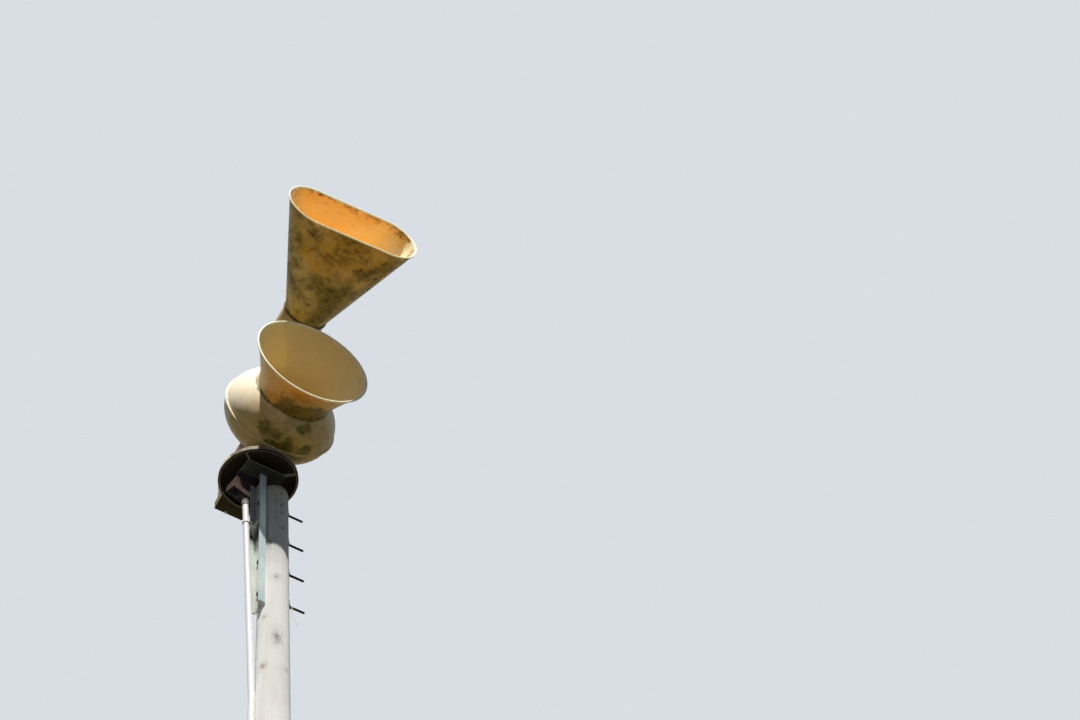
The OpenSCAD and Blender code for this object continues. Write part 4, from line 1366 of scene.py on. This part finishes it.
@dataclass
class GearBox(Assembly):
    """The slanting casting beside the plate, and the flat box outside the hood."""

    turn: float = math.radians(13)
    axis_x: float = AXIS_X
    corner: tuple[float, float] = (-0.149, 0.149)
    box_mid: float = -0.178
    box_far: float = 0.450
    box_half: float = 0.134
    screws: tuple[tuple[float, float], ...] = (
        (0.03, 0.018), (0.125, 0.018), (0.115, 0.085), (0.03, 0.085), (0.228, 0.018),
    )

    def build(self) -> None:
        """Makes the casting, the box with its lid, and their small fittings."""
        finishes = self.finishes
        # The undersides of the gear box and the outer box take the darker finishes, partly grime and partly
        # painted shade.
        self.soften("gearbox", finishes.brown, Slot.BROWN, 0.003, [finishes.brown_under])
        self.soften("outer_box", finishes.box, Slot.BROWN, 0.003, [finishes.box_under])
        self.soften("outer_box_lid", finishes.box, Slot.BROWN, 0.0015)
        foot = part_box("gearbox")[0].z
        seat = (move_by(self.axis_x + self.corner[0], self.corner[1], foot) @ turn_z(self.turn)
                @ Matrix.Rotation(math.pi, 4, "X"))
        bm = bmesh.new()
        for u, v in self.screws:
            add_bolt(bm, seat @ move_by(u, -v, 0), 0.014)
        self.keep("gear_box_screws", bm, [finishes.iron], Slot.DARK_STEEL)
        bm = bmesh.new()
        box_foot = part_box("outer_box")[0].z
        under = move_by(self.box_mid, 0, box_foot) @ Matrix.Rotation(math.pi, 4, "X")
        inset = 0.016
        for x in (-self.box_half + inset, -0.01, self.box_half - inset):
            add_bolt(bm, under @ move_by(x, -self.box_far + inset, 0), 0.011)
        self.keep("outer_box_screws", bm, [finishes.iron], Slot.DARK_STEEL)
        bm = bmesh.new()
        add_disc(bm, under @ move_by(-0.030, -self.box_far + 0.013, -0.002), 0.012, 0.010, 16)
        self.keep("outer_box_plug", bm, [finishes.plastic], Slot.GALVANISED)
        bm = bmesh.new()
        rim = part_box("outer_box_lid")[0].z
        for x in (-0.6, 0.6):
            spot = move_by(self.box_mid + x * self.box_half, self.box_far, rim - 0.030)
            add_block(bm, (-0.011, -0.001, -0.016), (0.011, 0.0, 0.020), 0.0006, spot)
            barrel = spot @ move_by(-0.011, -0.0035, 0.018) @ turn_by(90, "Y")
            add_disc(bm, barrel, 0.0032, 0.022, 12)
        self.keep("outer_box_hasps", bm, [finishes.zinc_dark], Slot.GALVANISED)


@dataclass
class Conduit(Assembly):
    """The conduit up the pole and past the channel, with its sleeves, connector, lead, clip and straps."""

    radius: float = 0.025
    sleeve: float = 0.0035
    coupling_half: float = 0.045
    strap_t: float = 0.004
    screw_side: float = 0.046
    bell_heights: tuple[float, ...] = (2.55, 5.60, 8.65)
    strap_count: int = 4
    lead_r: float = 0.012
    rib_pitch: float = 0.007
    neck_l: float = 0.036
    angle: float = math.radians(174.5)

    def build(self) -> None:
        """Makes both runs, the sleeves, the connector, the lead and the straps."""
        low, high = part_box("conduit_pole_run")
        knee = node_middle("conduit_coupling")
        foot = Vector((low.x + self.radius, high.y - self.radius, low.z))
        head = self.head_point()
        self.run("conduit_lower", foot, knee, ["conduit_pole_run"])
        self.run("conduit_upper", knee, head, ["conduit_top_run"])
        self.sleeves(foot, knee)
        self.connector(head)
        self.lead()
        for i in range(1, self.strap_count + 1):
            self.soften(f"conduit_strap_{i}", self.finishes.zinc, Slot.GALVANISED, 0.0008)
        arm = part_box("conduit_clip")[0].x + 2 * self.radius
        self.soften("conduit_clip", self.finishes.zinc_dark, Slot.GALVANISED, 0.001, [self.finishes.plastic],
                    lambda middle, normal: 1 if middle.x < arm else 0)
        self.screws()

    def head_point(self) -> Vector:
        """Returns the point where the conduit enters its connector."""
        low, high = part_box("conduit_connector")
        return Vector(((low.x + high.x) / 2, (low.y + high.y) / 2, low.z))

    def run(self, name: str, start: Vector, end: Vector, nodes: list[str]) -> None:
        """Makes a straight length of conduit that stops just short of its ends.

        Args:
            name: The piece's name.
            start: Its lower end.
            end: Its upper end.
            nodes: Frame nodes that it stands for.
        """
        way = (end - start).normalized()
        path = [start + way * 0.0005, start + way * 0.003]
        steps = 12
        path += [start.lerp(end, i / steps) for i in range(1, steps)]
        path += [end - way * 0.003, end - way * 0.0005]
        bm = loft(along(path, self.radius), 40, caps=True)
        self.keep(name, bm, [self.finishes.plastic], Slot.CONDUIT, nodes)

    def sleeves(self, foot: Vector, knee: Vector) -> None:
        """Makes the belled joints on the pole and the coupling at the bend."""
        thick, bore = self.radius + self.sleeve, self.radius + 0.0002
        outline: Outline = [(bore, 0.0), (thick, 0.0), (thick + 0.0008, 0.002), (thick + 0.0008, 0.006),
                            (thick, 0.008), (thick, 0.085), (bore, 0.098)]
        turn = (knee - foot).normalized().to_track_quat("Z", "Y").to_matrix().to_4x4()
        parts = [moved(turned(outline, 40), Matrix.Translation(foot.lerp(knee, z / knee.z)) @ turn)
                 for z in self.bell_heights]
        self.join("conduit_bells", parts, [self.finishes.plastic], Slot.CONDUIT)
        half, slim = self.coupling_half, self.radius + 0.0007
        outline = [(bore, -half), (slim, 0.004 - half), (slim, half - 0.004), (bore, half)]
        bm = moved(turned(outline, 40), Matrix.Translation(knee))
        self.keep("conduit_sleeve", bm, [self.finishes.plastic], Slot.CONDUIT, ["conduit_coupling"])

    def connector(self, head: Vector) -> None:
        """Makes the connector with its lock ring on the conduit's top."""
        low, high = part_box("conduit_connector")
        low.z -= self.neck_l
        r = (high.x - low.x) / 2
        outline: Outline = [(0.0, low.z), (self.radius + 0.0005, low.z), (r - 0.004, low.z + 0.002),
                            (r - 0.001, low.z + 0.006), (r - 0.001, low.z + 0.012),
                            (r - 0.004, low.z + 0.014), (r - 0.004, high.z - 0.008),
                            (r, high.z - 0.007), (r, high.z - 0.001), (r - 0.001, high.z), (0.0, high.z)]
        bm = moved(turned(outline, 32, closed=False), move_by(head.x, head.y, 0))
        self.keep("conduit_connector_body", bm, [self.finishes.plate_edge], Slot.GALVANISED,
                  ["conduit_connector"])

    def lead(self) -> None:
        """Makes the ribbed lead that bends twice on its way up to the gear box."""
        low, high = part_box("conduit_lead")
        start = node_middle("conduit_connector")
        start.z = low.z
        r = self.lead_r
        left, right = low.x + r, high.x - r
        end = Vector((left if right - start.x < start.x - left else right, high.y - r, high.z))
        across = (end - start) * Vector((1, 1, 0))
        turn = 2 * math.atan2(across.length, end.z - start.z)
        bend = (end.z - start.z) / (2 * math.sin(turn))
        count = 2 * round(2 * bend * turn / self.rib_pitch)
        path = []
        for i in range(count + 1):
            part = 2 * i / count
            angle = turn * min(part, 2 - part)
            side, rise = bend * (1 - math.cos(angle)), bend * math.sin(angle)
            way = across.normalized() * side + Vector((0, 0, rise))
            path.append(start + way if part <= 1 else end - way)
        stations = along(path, lambda part: r - 0.0016 * (round(part * count) % 2))
        bm = loft(stations, 20, caps=True)
        self.keep("conduit_lead_sheath", bm, [self.finishes.sheath], Slot.DARK_STEEL, ["conduit_lead"])

    def screws(self) -> None:
        """Makes the screws of the straps and the clip's bolts."""
        bm = bmesh.new()
        pole_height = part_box("pole_shaft")[1].z
        for i in range(1, self.strap_count + 1):
            middle = node_middle(f"conduit_strap_{i}")
            radius = POLE_FOOT_R + (POLE_TOP_R - POLE_FOOT_R) * middle.z / pole_height + self.strap_t
            spread = self.screw_side / radius
            for side in (-1, 1):
                seat = around(1, radius, self.angle + side * spread)[0]
                add_bolt(bm, move_by(0, 0, middle.z) @ seat, 0.012, washer=False)
        low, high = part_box("conduit_clip")
        for y in (low.y + 0.016, high.y - 0.016):
            seat = move_by(high.x - 0.006, y, (low.z + high.z) / 2)
            add_bolt(bm, seat @ turn_by(-90, "Y"), 0.011)
        self.keep("conduit_screws", bm, [self.finishes.zinc_dark], Slot.GALVANISED)


# The turning head

@dataclass
class TurningBase(Assembly):
    """The turntable, its plate and the box that carries the motor."""

    turntable_r: float = 0.150
    screw_count: int = 12
    base_half: float = 0.237
    base_front: float = 0.307
    base_back: float = 0.763
    base_h: float = 0.230
    cover_half: float = 0.17
    cover_t: float = 0.003
    louvre_count: int = 6
    soft_edges: tuple[tuple[str, float], ...] = (
        ("base_plate", 0.002), ("motor_base", 0.003), ("saddle_front", 0.002), ("saddle_rear", 0.002),
    )

    def build(self) -> None:
        """Makes the turntable, the plate, the box and the saddles."""
        finishes = self.finishes
        low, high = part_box("turntable")
        r = self.turntable_r
        outline: Outline = [(0.0, low.z), (r - 0.002, low.z), (r, low.z + 0.002), (r, low.z + 0.006),
                            (r - 0.001, low.z + 0.007), (r - 0.001, low.z + 0.009), (r, low.z + 0.010),
                            (r, high.z - 0.002), (r - 0.002, high.z), (0.0, high.z)]
        bm = moved(turned(outline, closed=False), ON_AXIS)
        self.keep("turntable_disc", bm, [finishes.grey], Slot.GREY, ["turntable"])
        self.dress("turning_shaft", finishes.iron)
        for node, width in self.soft_edges:
            self.soften(node, finishes.grey, Slot.GREY, width)
        self.covers()

    def covers(self) -> None:
        """Makes the box's cover plates, their screws and the vent at the back."""
        finishes = self.finishes
        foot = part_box("motor_base")[0].z - BALL_Z
        middle = (self.base_front + self.base_back) / 2
        plates, screws = bmesh.new(), bmesh.new()
        half_l, thick = self.cover_half, self.cover_t
        low, high = foot + 0.03, foot + self.base_h - 0.03
        for side in (-1, 1):
            x = side * self.base_half
            face = x + side * thick
            add_block(plates, (min(x, face), middle - half_l, low),
                      (max(x, face), middle + half_l, high), 0.001)
            out = turn_by(90 * side, "Y")
            for y in (-half_l + 0.015, 0.0, half_l - 0.015):
                for z in (low + 0.015, high - 0.015):
                    seat = move_by(face, middle + y, z) @ out
                    add_bolt(screws, seat, 0.011, washer=False)
        back = self.base_back
        add_block(plates, (-0.16, back, low), (0.16, back + thick, high), 0.001)
        for x in (-0.145, 0.0, 0.145):
            for z in (low + 0.012, high - 0.012):
                seat = move_by(x, back + 0.0015, z) @ turn_by(-90, "X")
                add_bolt(screws, seat, 0.009, washer=False)
        for i in range(self.louvre_count):
            z = low + 0.04 + i * 0.016
            tilt = move_by(0, back + thick, z) @ turn_by(-32, "X")
            add_block(plates, (-0.11, 0.0, -0.001), (0.11, 0.006, 0.001), 0.0004, tilt)
        moved(plates, ON_HEAD)
        moved(screws, ON_HEAD)
        self.keep("motor_base_covers", plates, [finishes.grey], Slot.GREY)
        self.keep("motor_base_screws", screws, [finishes.zinc_dark], Slot.GALVANISED)


@dataclass
class Motor(Assembly):
    """The ribbed motor behind the ball, with its fan cowl, eye and terminal box."""

    case_r: float = 0.177
    core_r: float = 0.160
    start: float = 0.31
    back: float = 0.690
    fin_count: int = 44
    fin_t: float = 0.0035
    cap_l: float = 0.070
    cap_round: float = 0.045
    slot_count: int = 18
    eye_r: float = 0.015
    eye_wire: float = 0.005
    cowl_screws: int = 6

    def build(self) -> None:
        """Makes the motor's core, fins, cowl and fittings."""
        finishes = self.finishes
        end = self.case_r
        outline: Outline = [(0.0, -self.back), (end - 0.003, -self.back), (end, -self.back + 0.003),
                            (end, -self.back + 0.030), (end - 0.003, -self.back + 0.033),
                            (self.core_r, -self.back + 0.035), (self.core_r, -self.start - 0.037),
                            (end - 0.003, -self.start - 0.035),
                            (end, -self.start - 0.032), (end, -self.start), (0.0, -self.start)]
        bm = turned(outline, closed=False, facing=Facing.AHEAD)
        for i in range(self.fin_count):
            turn = Matrix.Rotation(math.tau * i / self.fin_count, 4, "Y")
            add_block(bm, (self.core_r - 0.003, self.start + 0.030, -self.fin_t / 2),
                      (self.case_r - 0.001, self.back - 0.030, self.fin_t / 2), 0.0008, turn)
        moved(bm, ON_HEAD)
        self.keep("motor_body", bm, [finishes.grey], Slot.GREY, ["motor_case"])
        self.cowl()
        self.fittings()

    def cowl(self) -> None:
        """Makes the round fan cowl with its slots."""
        r, back = self.case_r - 0.006, -self.back
        curve, end = self.cap_round, back - self.cap_l
        round_edge = arc((r - curve, end + curve), curve, 0, -15, 7)
        outline: Outline = [(0.0, back), (r, back), *round_edge, (0.0, end)]
        bm = turned(outline, closed=False, facing=Facing.AHEAD)
        self.keep("motor_cowl", moved(bm, ON_HEAD), [self.finishes.grey], Slot.GREY, ["motor_end_cap"])
        # The slots are near-black blocks on the cowl that stand for the shade inside them: painted shade.
        bm = bmesh.new()
        for ring, length in ((0.045, 0.030), (0.090, 0.032)):
            for i in range(self.slot_count):
                turn = Matrix.Rotation(math.tau * i / self.slot_count, 4, "Y")
                add_block(bm, (ring, self.back + self.cap_l - 0.0005, -0.0035),
                          (ring + length, self.back + self.cap_l + 0.0006, 0.0035), 0.0, turn)
        self.keep("cowl_slots", moved(bm, ON_HEAD), [self.finishes.hood_edge_painted_shade], Slot.DARK_STEEL)

    def fittings(self) -> None:
        """Makes the lifting eye, the terminal box, and the screws of the box and the cowl."""
        middle = (self.start + self.back) / 2
        box_foot = self.case_r + 0.045
        box_top = box_foot + 0.007
        eye = move_by(0, middle, self.case_r + 0.018) @ LOOK_AHEAD
        ring = arc((self.eye_r, 0.0), self.eye_wire, 0, 30, 12)
        bm = moved(turned(ring, 28), eye)
        add_disc(bm, move_by(0, middle, self.core_r), 0.014, 0.014, 20, 0.011)
        side = turn_by(-38, "Y")
        add_block(bm, (self.core_r - 0.01, 0.44, -0.045), (box_foot, 0.56, 0.045), 0.004, side)
        add_block(bm, (box_foot, 0.437, -0.048), (box_top, 0.563, 0.048), 0.002, side)
        moved(bm, ON_HEAD)
        self.keep("motor_fittings", bm, [self.finishes.grey], Slot.GREY)
        bm = bmesh.new()
        for y in (0.450, 0.550):
            for z in (-0.038, 0.038):
                seat = side @ move_by(box_top, y, z) @ turn_by(90, "Y")
                add_bolt(bm, seat, 0.009, washer=False)
        for i in range(self.cowl_screws):
            turn = Matrix.Rotation(math.tau * (i + 0.5) / self.cowl_screws, 4, "Y")
            seat = turn @ move_by(self.case_r - 0.006, self.back + 0.014, 0) @ turn_by(90, "Y")
            add_bolt(bm, seat, 0.010, washer=False)
        self.keep("motor_screws", moved(bm, ON_HEAD), [self.finishes.zinc_dark], Slot.GALVANISED)


@dataclass
class Ball(Assembly):
    """The ball housing: two moulded shells with flanges bolted together round the middle."""

    radius: float = 0.505
    half_l: float = 0.345
    thick: float = 0.008
    hole_r: float = 0.3305
    flange_h: float = 0.014
    flange_w: float = 0.022
    gap_half: float = math.radians(25.4)
    bolt_count: int = 36
    dirty: tuple[tuple[Point, float], ...] = (
        ((-0.19, -0.11, -0.43), 0.07), ((-0.11, -0.11, -0.46), 0.06), ((0.10, -0.20, -0.39), 0.05),
        ((0.16, -0.22, -0.36), 0.06), ((0.02, -0.03, -0.50), 0.10), ((-0.10, 0.0, -0.50), 0.08),
        ((0.16, 0.02, -0.47), 0.09), ((0.22, -0.06, -0.44), 0.06),
    )

    def oval(self, angle: float, grow: float = 0.0) -> tuple[float, float]:
        """Returns the outline's radius and forward distance at an angle from straight ahead."""
        return (self.radius + grow) * math.sin(angle), (self.half_l + grow) * math.cos(angle)

    def build(self) -> None:
        """Makes both shells, the flange and its bolts."""
        finishes = self.finishes
        hole = math.asin(self.hole_r / self.radius)
        steps = 30
        quarter = math.pi / 2
        outer = [self.oval(hole + (quarter - hole) * i / steps) for i in range(steps + 1)]
        hole_in = math.asin(self.hole_r / (self.radius - self.thick))
        inner = [self.oval(hole_in + (quarter - hole_in) * i / steps, -self.thick) for i in range(steps + 1)]
        bm = turned([*outer, *reversed(inner)], 128, facing=Facing.AHEAD)
        soil(bm, self.grime)
        self.keep("ball_front_shell", moved(bm, ON_HEAD), [finishes.ball], Slot.TAN, ["ball_front"])
        outer = [self.oval(quarter + quarter * i / steps) for i in range(steps)] + [(0.0, -self.half_l)]
        inner = [self.oval(quarter + quarter * i / steps, -self.thick) for i in range(steps)]
        inner.append((0.0, -self.half_l + self.thick))
        outline = [*reversed(outer), *inner]
        bm = turned(outline, 128, closed=False, facing=Facing.AHEAD)
        soil(bm, self.grime)
        self.keep("ball_rear_shell", moved(bm, ON_HEAD), [finishes.ball], Slot.TAN, ["ball_rear"])
        self.flange()

    def grime(self, place: Vector) -> float:
        """Returns how dirty the ball is: blots below, and a line where the lower horn comes out."""
        edge = math.hypot(place.x, place.z) - self.hole_r
        line = math.exp(-(max(edge, 0.0) / 0.016) ** 2) if place.y < -0.2 and place.z < 0.15 else 0.0
        return max(blots(self.dirty)(place), line)

    def flange(self) -> None:
        """Makes the bolted flange, open where the riser stands."""
        low, high, half = self.radius + 0.0001, self.radius + self.flange_h, self.flange_w / 2
        outline: Outline = [(low, -half), (high - 0.004, -half), (high - 0.001, -half + 0.0015),
                            (high, -half + 0.004), (high, -0.0016), (high - 0.003, 0.0), (high, 0.0016),
                            (high, half - 0.004), (high - 0.001, half - 0.0015), (high - 0.004, half),
                            (low, half)]
        start = math.radians(90) + self.gap_half
        sweep = math.tau - 2 * self.gap_half
        bm = turned(outline, 120, facing=Facing.AHEAD, start=start, sweep=sweep)
        self.keep("ball_flange", moved(bm, ON_HEAD), [self.finishes.ball], Slot.TAN, ["ball_seam"])
        bm = bmesh.new()
        for i in range(self.bolt_count):
            angle = start + sweep * (i + 0.5) / self.bolt_count
            turn = Matrix.Rotation(-angle, 4, "Y") @ move_by(self.radius + 0.0072, 0, 0)
            for side in (-1, 1):
                seat = turn @ move_by(0, side * half, 0) @ turn_by(-90 * side, "X")
                add_bolt(bm, seat, 0.009, washer=False)
        self.keep("flange_bolts", moved(bm, ON_HEAD), [self.finishes.ball], Slot.TAN)


@dataclass
class LowerHorn(Assembly):
    """The round flared horn in front of the ball, and the ported plate at the bottom of its throat."""

    mouth_r: float = 0.520
    mouth: float = 0.645
    throat_r: float = 0.330
    join: float = 0.2611
    flare: float = 1.3
    spigot_l: float = 0.290
    spigot_r: float = 0.270
    lip_r: float = 0.009
    thick: float = 0.008
    steps: int = 28

    def grime(self, place: Vector) -> float:
        """Returns how dirty the horn is: its throat outside, and a fringe low inside its mouth."""
        part = (-place.y - self.join) / (self.mouth - self.join)
        radius = math.hypot(place.x, place.z)
        low = (0.42 * place.x - 0.9 * place.z) / max(radius, 0.01)
        if radius > self.wall(min(max(part, 0.0), 1.0))[0] - self.thick / 2:
            return max(0.0, min(1.0, 1.25 - 1.7 * part)) * max(0.0, min(0.95, 1.9 * low - 0.5))
        return max(0.0, min(1.0, (part - 0.90) * 9)) * max(0.0, low - 0.35) * 0.7 if part < 0.985 else 0.0

    def wall(self, part: float) -> tuple[float, float]:
        """Returns the outer wall's radius and forward distance at a part of the flare."""
        radius = self.throat_r + (self.mouth_r - self.lip_r - self.throat_r) * part ** self.flare
        return radius, self.join + (self.mouth - self.lip_r - self.join) * part

    def build(self) -> None:
        """Makes the horn and dresses the plate in its throat."""
        finishes = self.finishes
        back = self.join - self.spigot_l
        outline: Outline = [(self.spigot_r, back), (self.throat_r, self.join - self.thick)]
        outline += [self.wall(i / self.steps) for i in range(self.steps)]
        outline += arc((self.mouth_r - self.lip_r, self.mouth - self.lip_r), self.lip_r, -75, 22, 13)
        inner = [self.wall(i / self.steps) for i in reversed(range(self.steps))]
        outline += [(radius - self.thick, ahead) for radius, ahead in inner]
        outline.append((self.spigot_r - self.thick, back))
        bm = turned(outline, 144, facing=Facing.AHEAD)
        rim = -(self.mouth - 2.1 * self.lip_r)

        def skin(middle: Vector, normal: Vector) -> int:
            """Picks outside, inside or rim by place."""
            if middle.y < rim:
                return 2
            return 0 if normal.x * middle.x + normal.z * middle.z > 0 else 1
        paint(bm, skin)
        soil(bm, self.grime)
        moved(bm, ON_HEAD)
        self.keep("lower_horn_shell", bm, [finishes.lower_out, finishes.lower_in, finishes.rim], Slot.TAN,
                  ["lower_horn"])
        self.soften("stator_plate", finishes.iron, Slot.DARK_STEEL, 0.0015)


@dataclass
class Duct(Assembly):
    """The collar on the ball, the riser, the bend and the flange that carries the upper horn."""

    radius: float = 0.200
    thick: float = 0.008
    riser_ahead: float = 0.050
    bend_r: float = 0.280
    level: float = 0.920
    throat: float = 0.500
    collar_h: float = 0.010
    collar_l: float = 0.024
    bend_steps: int = 28

    def build(self) -> None:
        """Dresses the riser and its collar, and makes the bend and the flange."""
        finishes = self.finishes
        top = self.level - self.bend_r
        self.soften("riser_collar", finishes.duct, Slot.TAN, 0.003)
        self.dress("riser_pipe", finishes.duct)
        rings = []
        for grow in (0.0, -self.thick):
            row = []
            for i in range(self.bend_steps + 1):
                a = math.radians(90 * i / self.bend_steps)
                ahead = self.riser_ahead + self.bend_r * (1 - math.cos(a))
                point = move_by(0, -ahead, top + self.bend_r * math.sin(a))
                row.append(Station(point @ Matrix.Rotation(a, 4, "X"), self.radius + grow))
            for y in (-self.riser_ahead - self.bend_r - 0.02, -self.throat + 0.0005):
                row.append(Station(move_by(0, y, self.level) @ LOOK_AHEAD, self.radius + grow))
            rings += row if grow == 0.0 else list(reversed(row))
        bm = moved(loft(rings, 96, closed=True), ON_HEAD)
        self.keep("duct_elbow", bm, [finishes.duct], Slot.TAN, ["duct_bend"])
        self.collar()

    def collar(self) -> None:
        """Makes the pair of flanges between duct and horn."""
        seat = move_by(0, -self.throat, self.level) @ LOOK_AHEAD
        out, back = self.radius + self.collar_h, self.radius - self.thick
        half = self.collar_l / 2
        outline: Outline = [(back, 0.0), (out - 0.003, 0.0), (out, 0.003), (out, half - 0.0012),
                            (out - 0.003, half), (out, half + 0.0012), (out, self.collar_l - 0.003),
                            (out - 0.003, self.collar_l), (back, self.collar_l)]
        bm = moved(turned(outline, 128), ON_HEAD @ seat)
        # The collar's darker laminate is painted shade.
        self.keep("duct_flange", bm, [self.finishes.collar], Slot.TAN, ["duct_collar"])


@dataclass
class UpperHorn(Assembly):
    """The wide horn that opens from a round throat to a long mouth with round ends."""

    mouth_w: float = 1.270
    mouth_h: float = 0.594
    mouth: float = 1.480
    mouth_up: float = 1.067
    start: float = 0.524
    start_up: float = 0.920
    throat_r: float = 0.200
    lip_r: float = 0.009
    thick: float = 0.008
    rings: int = 36

    def grime(self, place: Vector) -> float:
        """Returns how dirty the horn is: patches below, and a fringe along its top edge inside."""
        part = (-place.y - self.start) / (self.mouth - self.start)
        up = place.z - self.start_up - (self.mouth_up - self.start_up) * part
        if part > 0.985:
            return 0.0
        if up > 0:
            return max(0.0, min(1.0, (part - 0.90) * 11)) * 0.42
        patches = math.sin(place.x * 8 + 2.2) * math.cos(part * 6)
        return max(0.02, (0.45 + 0.7 * part) * (0.26 + 0.3 * patches))

    def station(self, part: float, grow: float) -> Station:
        """Returns the ring at a part of the way to the mouth, grown outwards."""
        ahead = self.start + (self.mouth - self.start) * part
        up = self.start_up + (self.mouth_up - self.start_up) * part
        radius = self.throat_r + (self.mouth_h / 2 - self.lip_r - self.throat_r) * part + grow
        half = (self.mouth_w - self.mouth_h) / 2 * part
        return Station(move_by(0, -ahead, up) @ LOOK_AHEAD, radius, half)

    def build(self) -> None:
        """Makes the horn's wall with its rolled lip."""
        finishes = self.finishes
        lip = self.lip_r / (self.mouth - self.start)
        last = 1 - 2 * lip
        outer = [self.station(last * i / self.rings, 0.0) for i in range(self.rings + 1)]
        turn = [self.station(1 - 1.1 * lip + lip * math.sin(a), (self.lip_r - 0.0008) * math.cos(a))
                for a in (math.radians(-75 + 20 * i) for i in range(13))]
        inner = [self.station(last * i / self.rings, -self.thick) for i in reversed(range(self.rings + 1))]
        bm = loft([*outer, *turn, *inner], 128, closed=True)
        rim = -(self.mouth - 2.15 * self.lip_r)

        def skin(middle: Vector, normal: Vector) -> int:
            """Picks outside, inside or rim by place."""
            if middle.y < rim:
                return 2
            ahead = (-middle.y - self.start) / (self.mouth - self.start)
            up = middle.z - self.start_up - (self.mouth_up - self.start_up) * ahead
            side = max(abs(middle.x) - (self.mouth_w - self.mouth_h) / 2 * ahead, 0.0)
            away = normal.x * math.copysign(side, middle.x) + normal.z * up
            return 0 if away > 0 else 1
        paint(bm, skin)
        soil(bm, self.grime)
        moved(bm, ON_HEAD)
        self.keep("upper_horn_shell", bm, [finishes.upper_out, finishes.upper_in, finishes.rim], Slot.HORN,
                  ["upper_horn"])


# The studio

@dataclass(frozen=True)
class Studio:
    """The camera at the photograph's angle, the lamp, the pale background and the floor."""

    eye: Point = (-4.836, -8.061, 1.600)
    forward: Point = (0.4168, 0.4026, 0.8150)
    up: Point = (-0.4287, -0.7036, 0.5668)
    lens: float = 58.24
    sun_way: float = math.radians(-120)
    sun_height: float = math.radians(51.3)
    sun_strength: float = 7.6
    sun_spread: float = math.radians(1.2)
    sun_tint: Colour = (1.0, 0.97, 0.93)
    fill: float = 0.130
    fill_tint: Colour = (0.72, 1.0, 1.42)
    backdrop: Colour = srgb(216, 222, 228)
    floor_r: float = 45.0
    floor_seen: Colour = srgb(176, 180, 182)
    floor_cast: Colour = (0.112, 0.100, 0.066)

    def build(self) -> None:
        """Makes the camera, the lamp, the world and the floor."""
        scene = bpy.context.scene
        scene.view_settings.view_transform = "Standard"
        self.place_camera(scene)
        self.place_sun(scene)
        self.light_world(scene)
        self.lay_floor(scene)

    def place_camera(self, scene: bpy.types.Scene) -> None:
        """Adds the camera."""
        camera = bpy.data.cameras.new("photo_camera")
        camera.lens = self.lens
        camera.sensor_width = 36.0
        camera.clip_end = 200.0
        rig = bpy.data.objects.new("photo_camera", camera)
        back = -Vector(self.forward).normalized()
        right = Vector(self.up).cross(back).normalized()
        turn = Matrix((right, back.cross(right), back)).transposed().to_4x4()
        rig.matrix_world = Matrix.Translation(self.eye) @ turn
        scene.collection.objects.link(rig)
        scene.camera = rig

    def place_sun(self, scene: bpy.types.Scene) -> None:
        """Adds the soft sun."""
        lamp = bpy.data.lights.new("studio_sun", "SUN")
        lamp.energy = self.sun_strength
        lamp.angle = self.sun_spread
        lamp.color = self.sun_tint
        rig = bpy.data.objects.new("studio_sun", lamp)
        level = math.cos(self.sun_height)
        towards = Vector((level * math.cos(self.sun_way), level * math.sin(self.sun_way),
                          math.sin(self.sun_height)))
        rig.matrix_world = towards.to_track_quat("Z", "Y").to_matrix().to_4x4()
        scene.collection.objects.link(rig)

    @staticmethod
    def seen_directly(tree: bpy.types.NodeTree) -> Socket:
        """Returns 1 for camera, glossy and transmission rays."""
        path = tree.nodes.new("ShaderNodeLightPath")
        value = path.outputs["Is Camera Ray"]
        for name in ("Is Glossy Ray", "Is Transmission Ray"):
            node = tree.nodes.new("ShaderNodeMath")
            node.operation = "MAXIMUM"
            tree.links.new(value, node.inputs[0])
            tree.links.new(path.outputs[name], node.inputs[1])
            value = node.outputs[0]
        return value

    def light_world(self, scene: bpy.types.Scene) -> None:
        """Gives the world a weak cool fill, and a pale look where it is seen."""
        world = bpy.data.worlds.new("studio_world")
        world.use_nodes = True
        tree = world.node_tree
        background = next(n for n in tree.nodes if n.type == "BACKGROUND")
        mix = tree.nodes.new("ShaderNodeMix")
        mix.data_type = "RGBA"
        tree.links.new(self.seen_directly(tree), mix.inputs[0])
        mix.inputs[6].default_value = (*scaled(self.fill_tint, self.fill), 1.0)
        mix.inputs[7].default_value = (*self.backdrop, 1.0)
        tree.links.new(mix.outputs[2], background.inputs["Color"])
        background.inputs["Strength"].default_value = 1.0
        scene.world = world

    def lay_floor(self, scene: bpy.types.Scene) -> None:
        """Lays the pale floor, which lights the object's underside only a little."""
        g = Graph("studio_floor")
        mix = g.mix(self.seen_directly(g.tree), self.floor_cast, self.floor_seen)
        material = g.finish(mix, 0.95)
        bm = bmesh.new()
        bmesh.ops.create_circle(bm, cap_ends=True, radius=self.floor_r, segments=128)
        mesh = bpy.data.meshes.new("studio_floor")
        bm.to_mesh(mesh)
        bm.free()
        mesh.materials.append(material)
        floor = bpy.data.objects.new("studio_floor", mesh)
        scene.collection.objects.link(floor)
        floor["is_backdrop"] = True


def main() -> None:
    """Builds the siren's pieces in order."""
    logging.basicConfig(level=logging.INFO, format="%(name)s %(message)s")
    Studio().build()
    finishes = Finishes()
    mast = [Pole, Mounting, Bearing, Hood, GearBox, Conduit]
    head = [TurningBase, Motor, Ball, LowerHorn, Duct, UpperHorn]
    for kind, body in [(k, Body.MAST) for k in mast] + [(k, Body.HEAD) for k in head]:
        assembly = kind(finishes, body)
        assembly.build()
        LOG.info("%s has %d pieces", kind.__name__, len(assembly.made))
    boxes = {"cad": CAD_BOX, "visual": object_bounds()}
    {name: [list(corner) for corner in box] for name, box in boxes.items()}


if __name__ == "__main__":
    main()
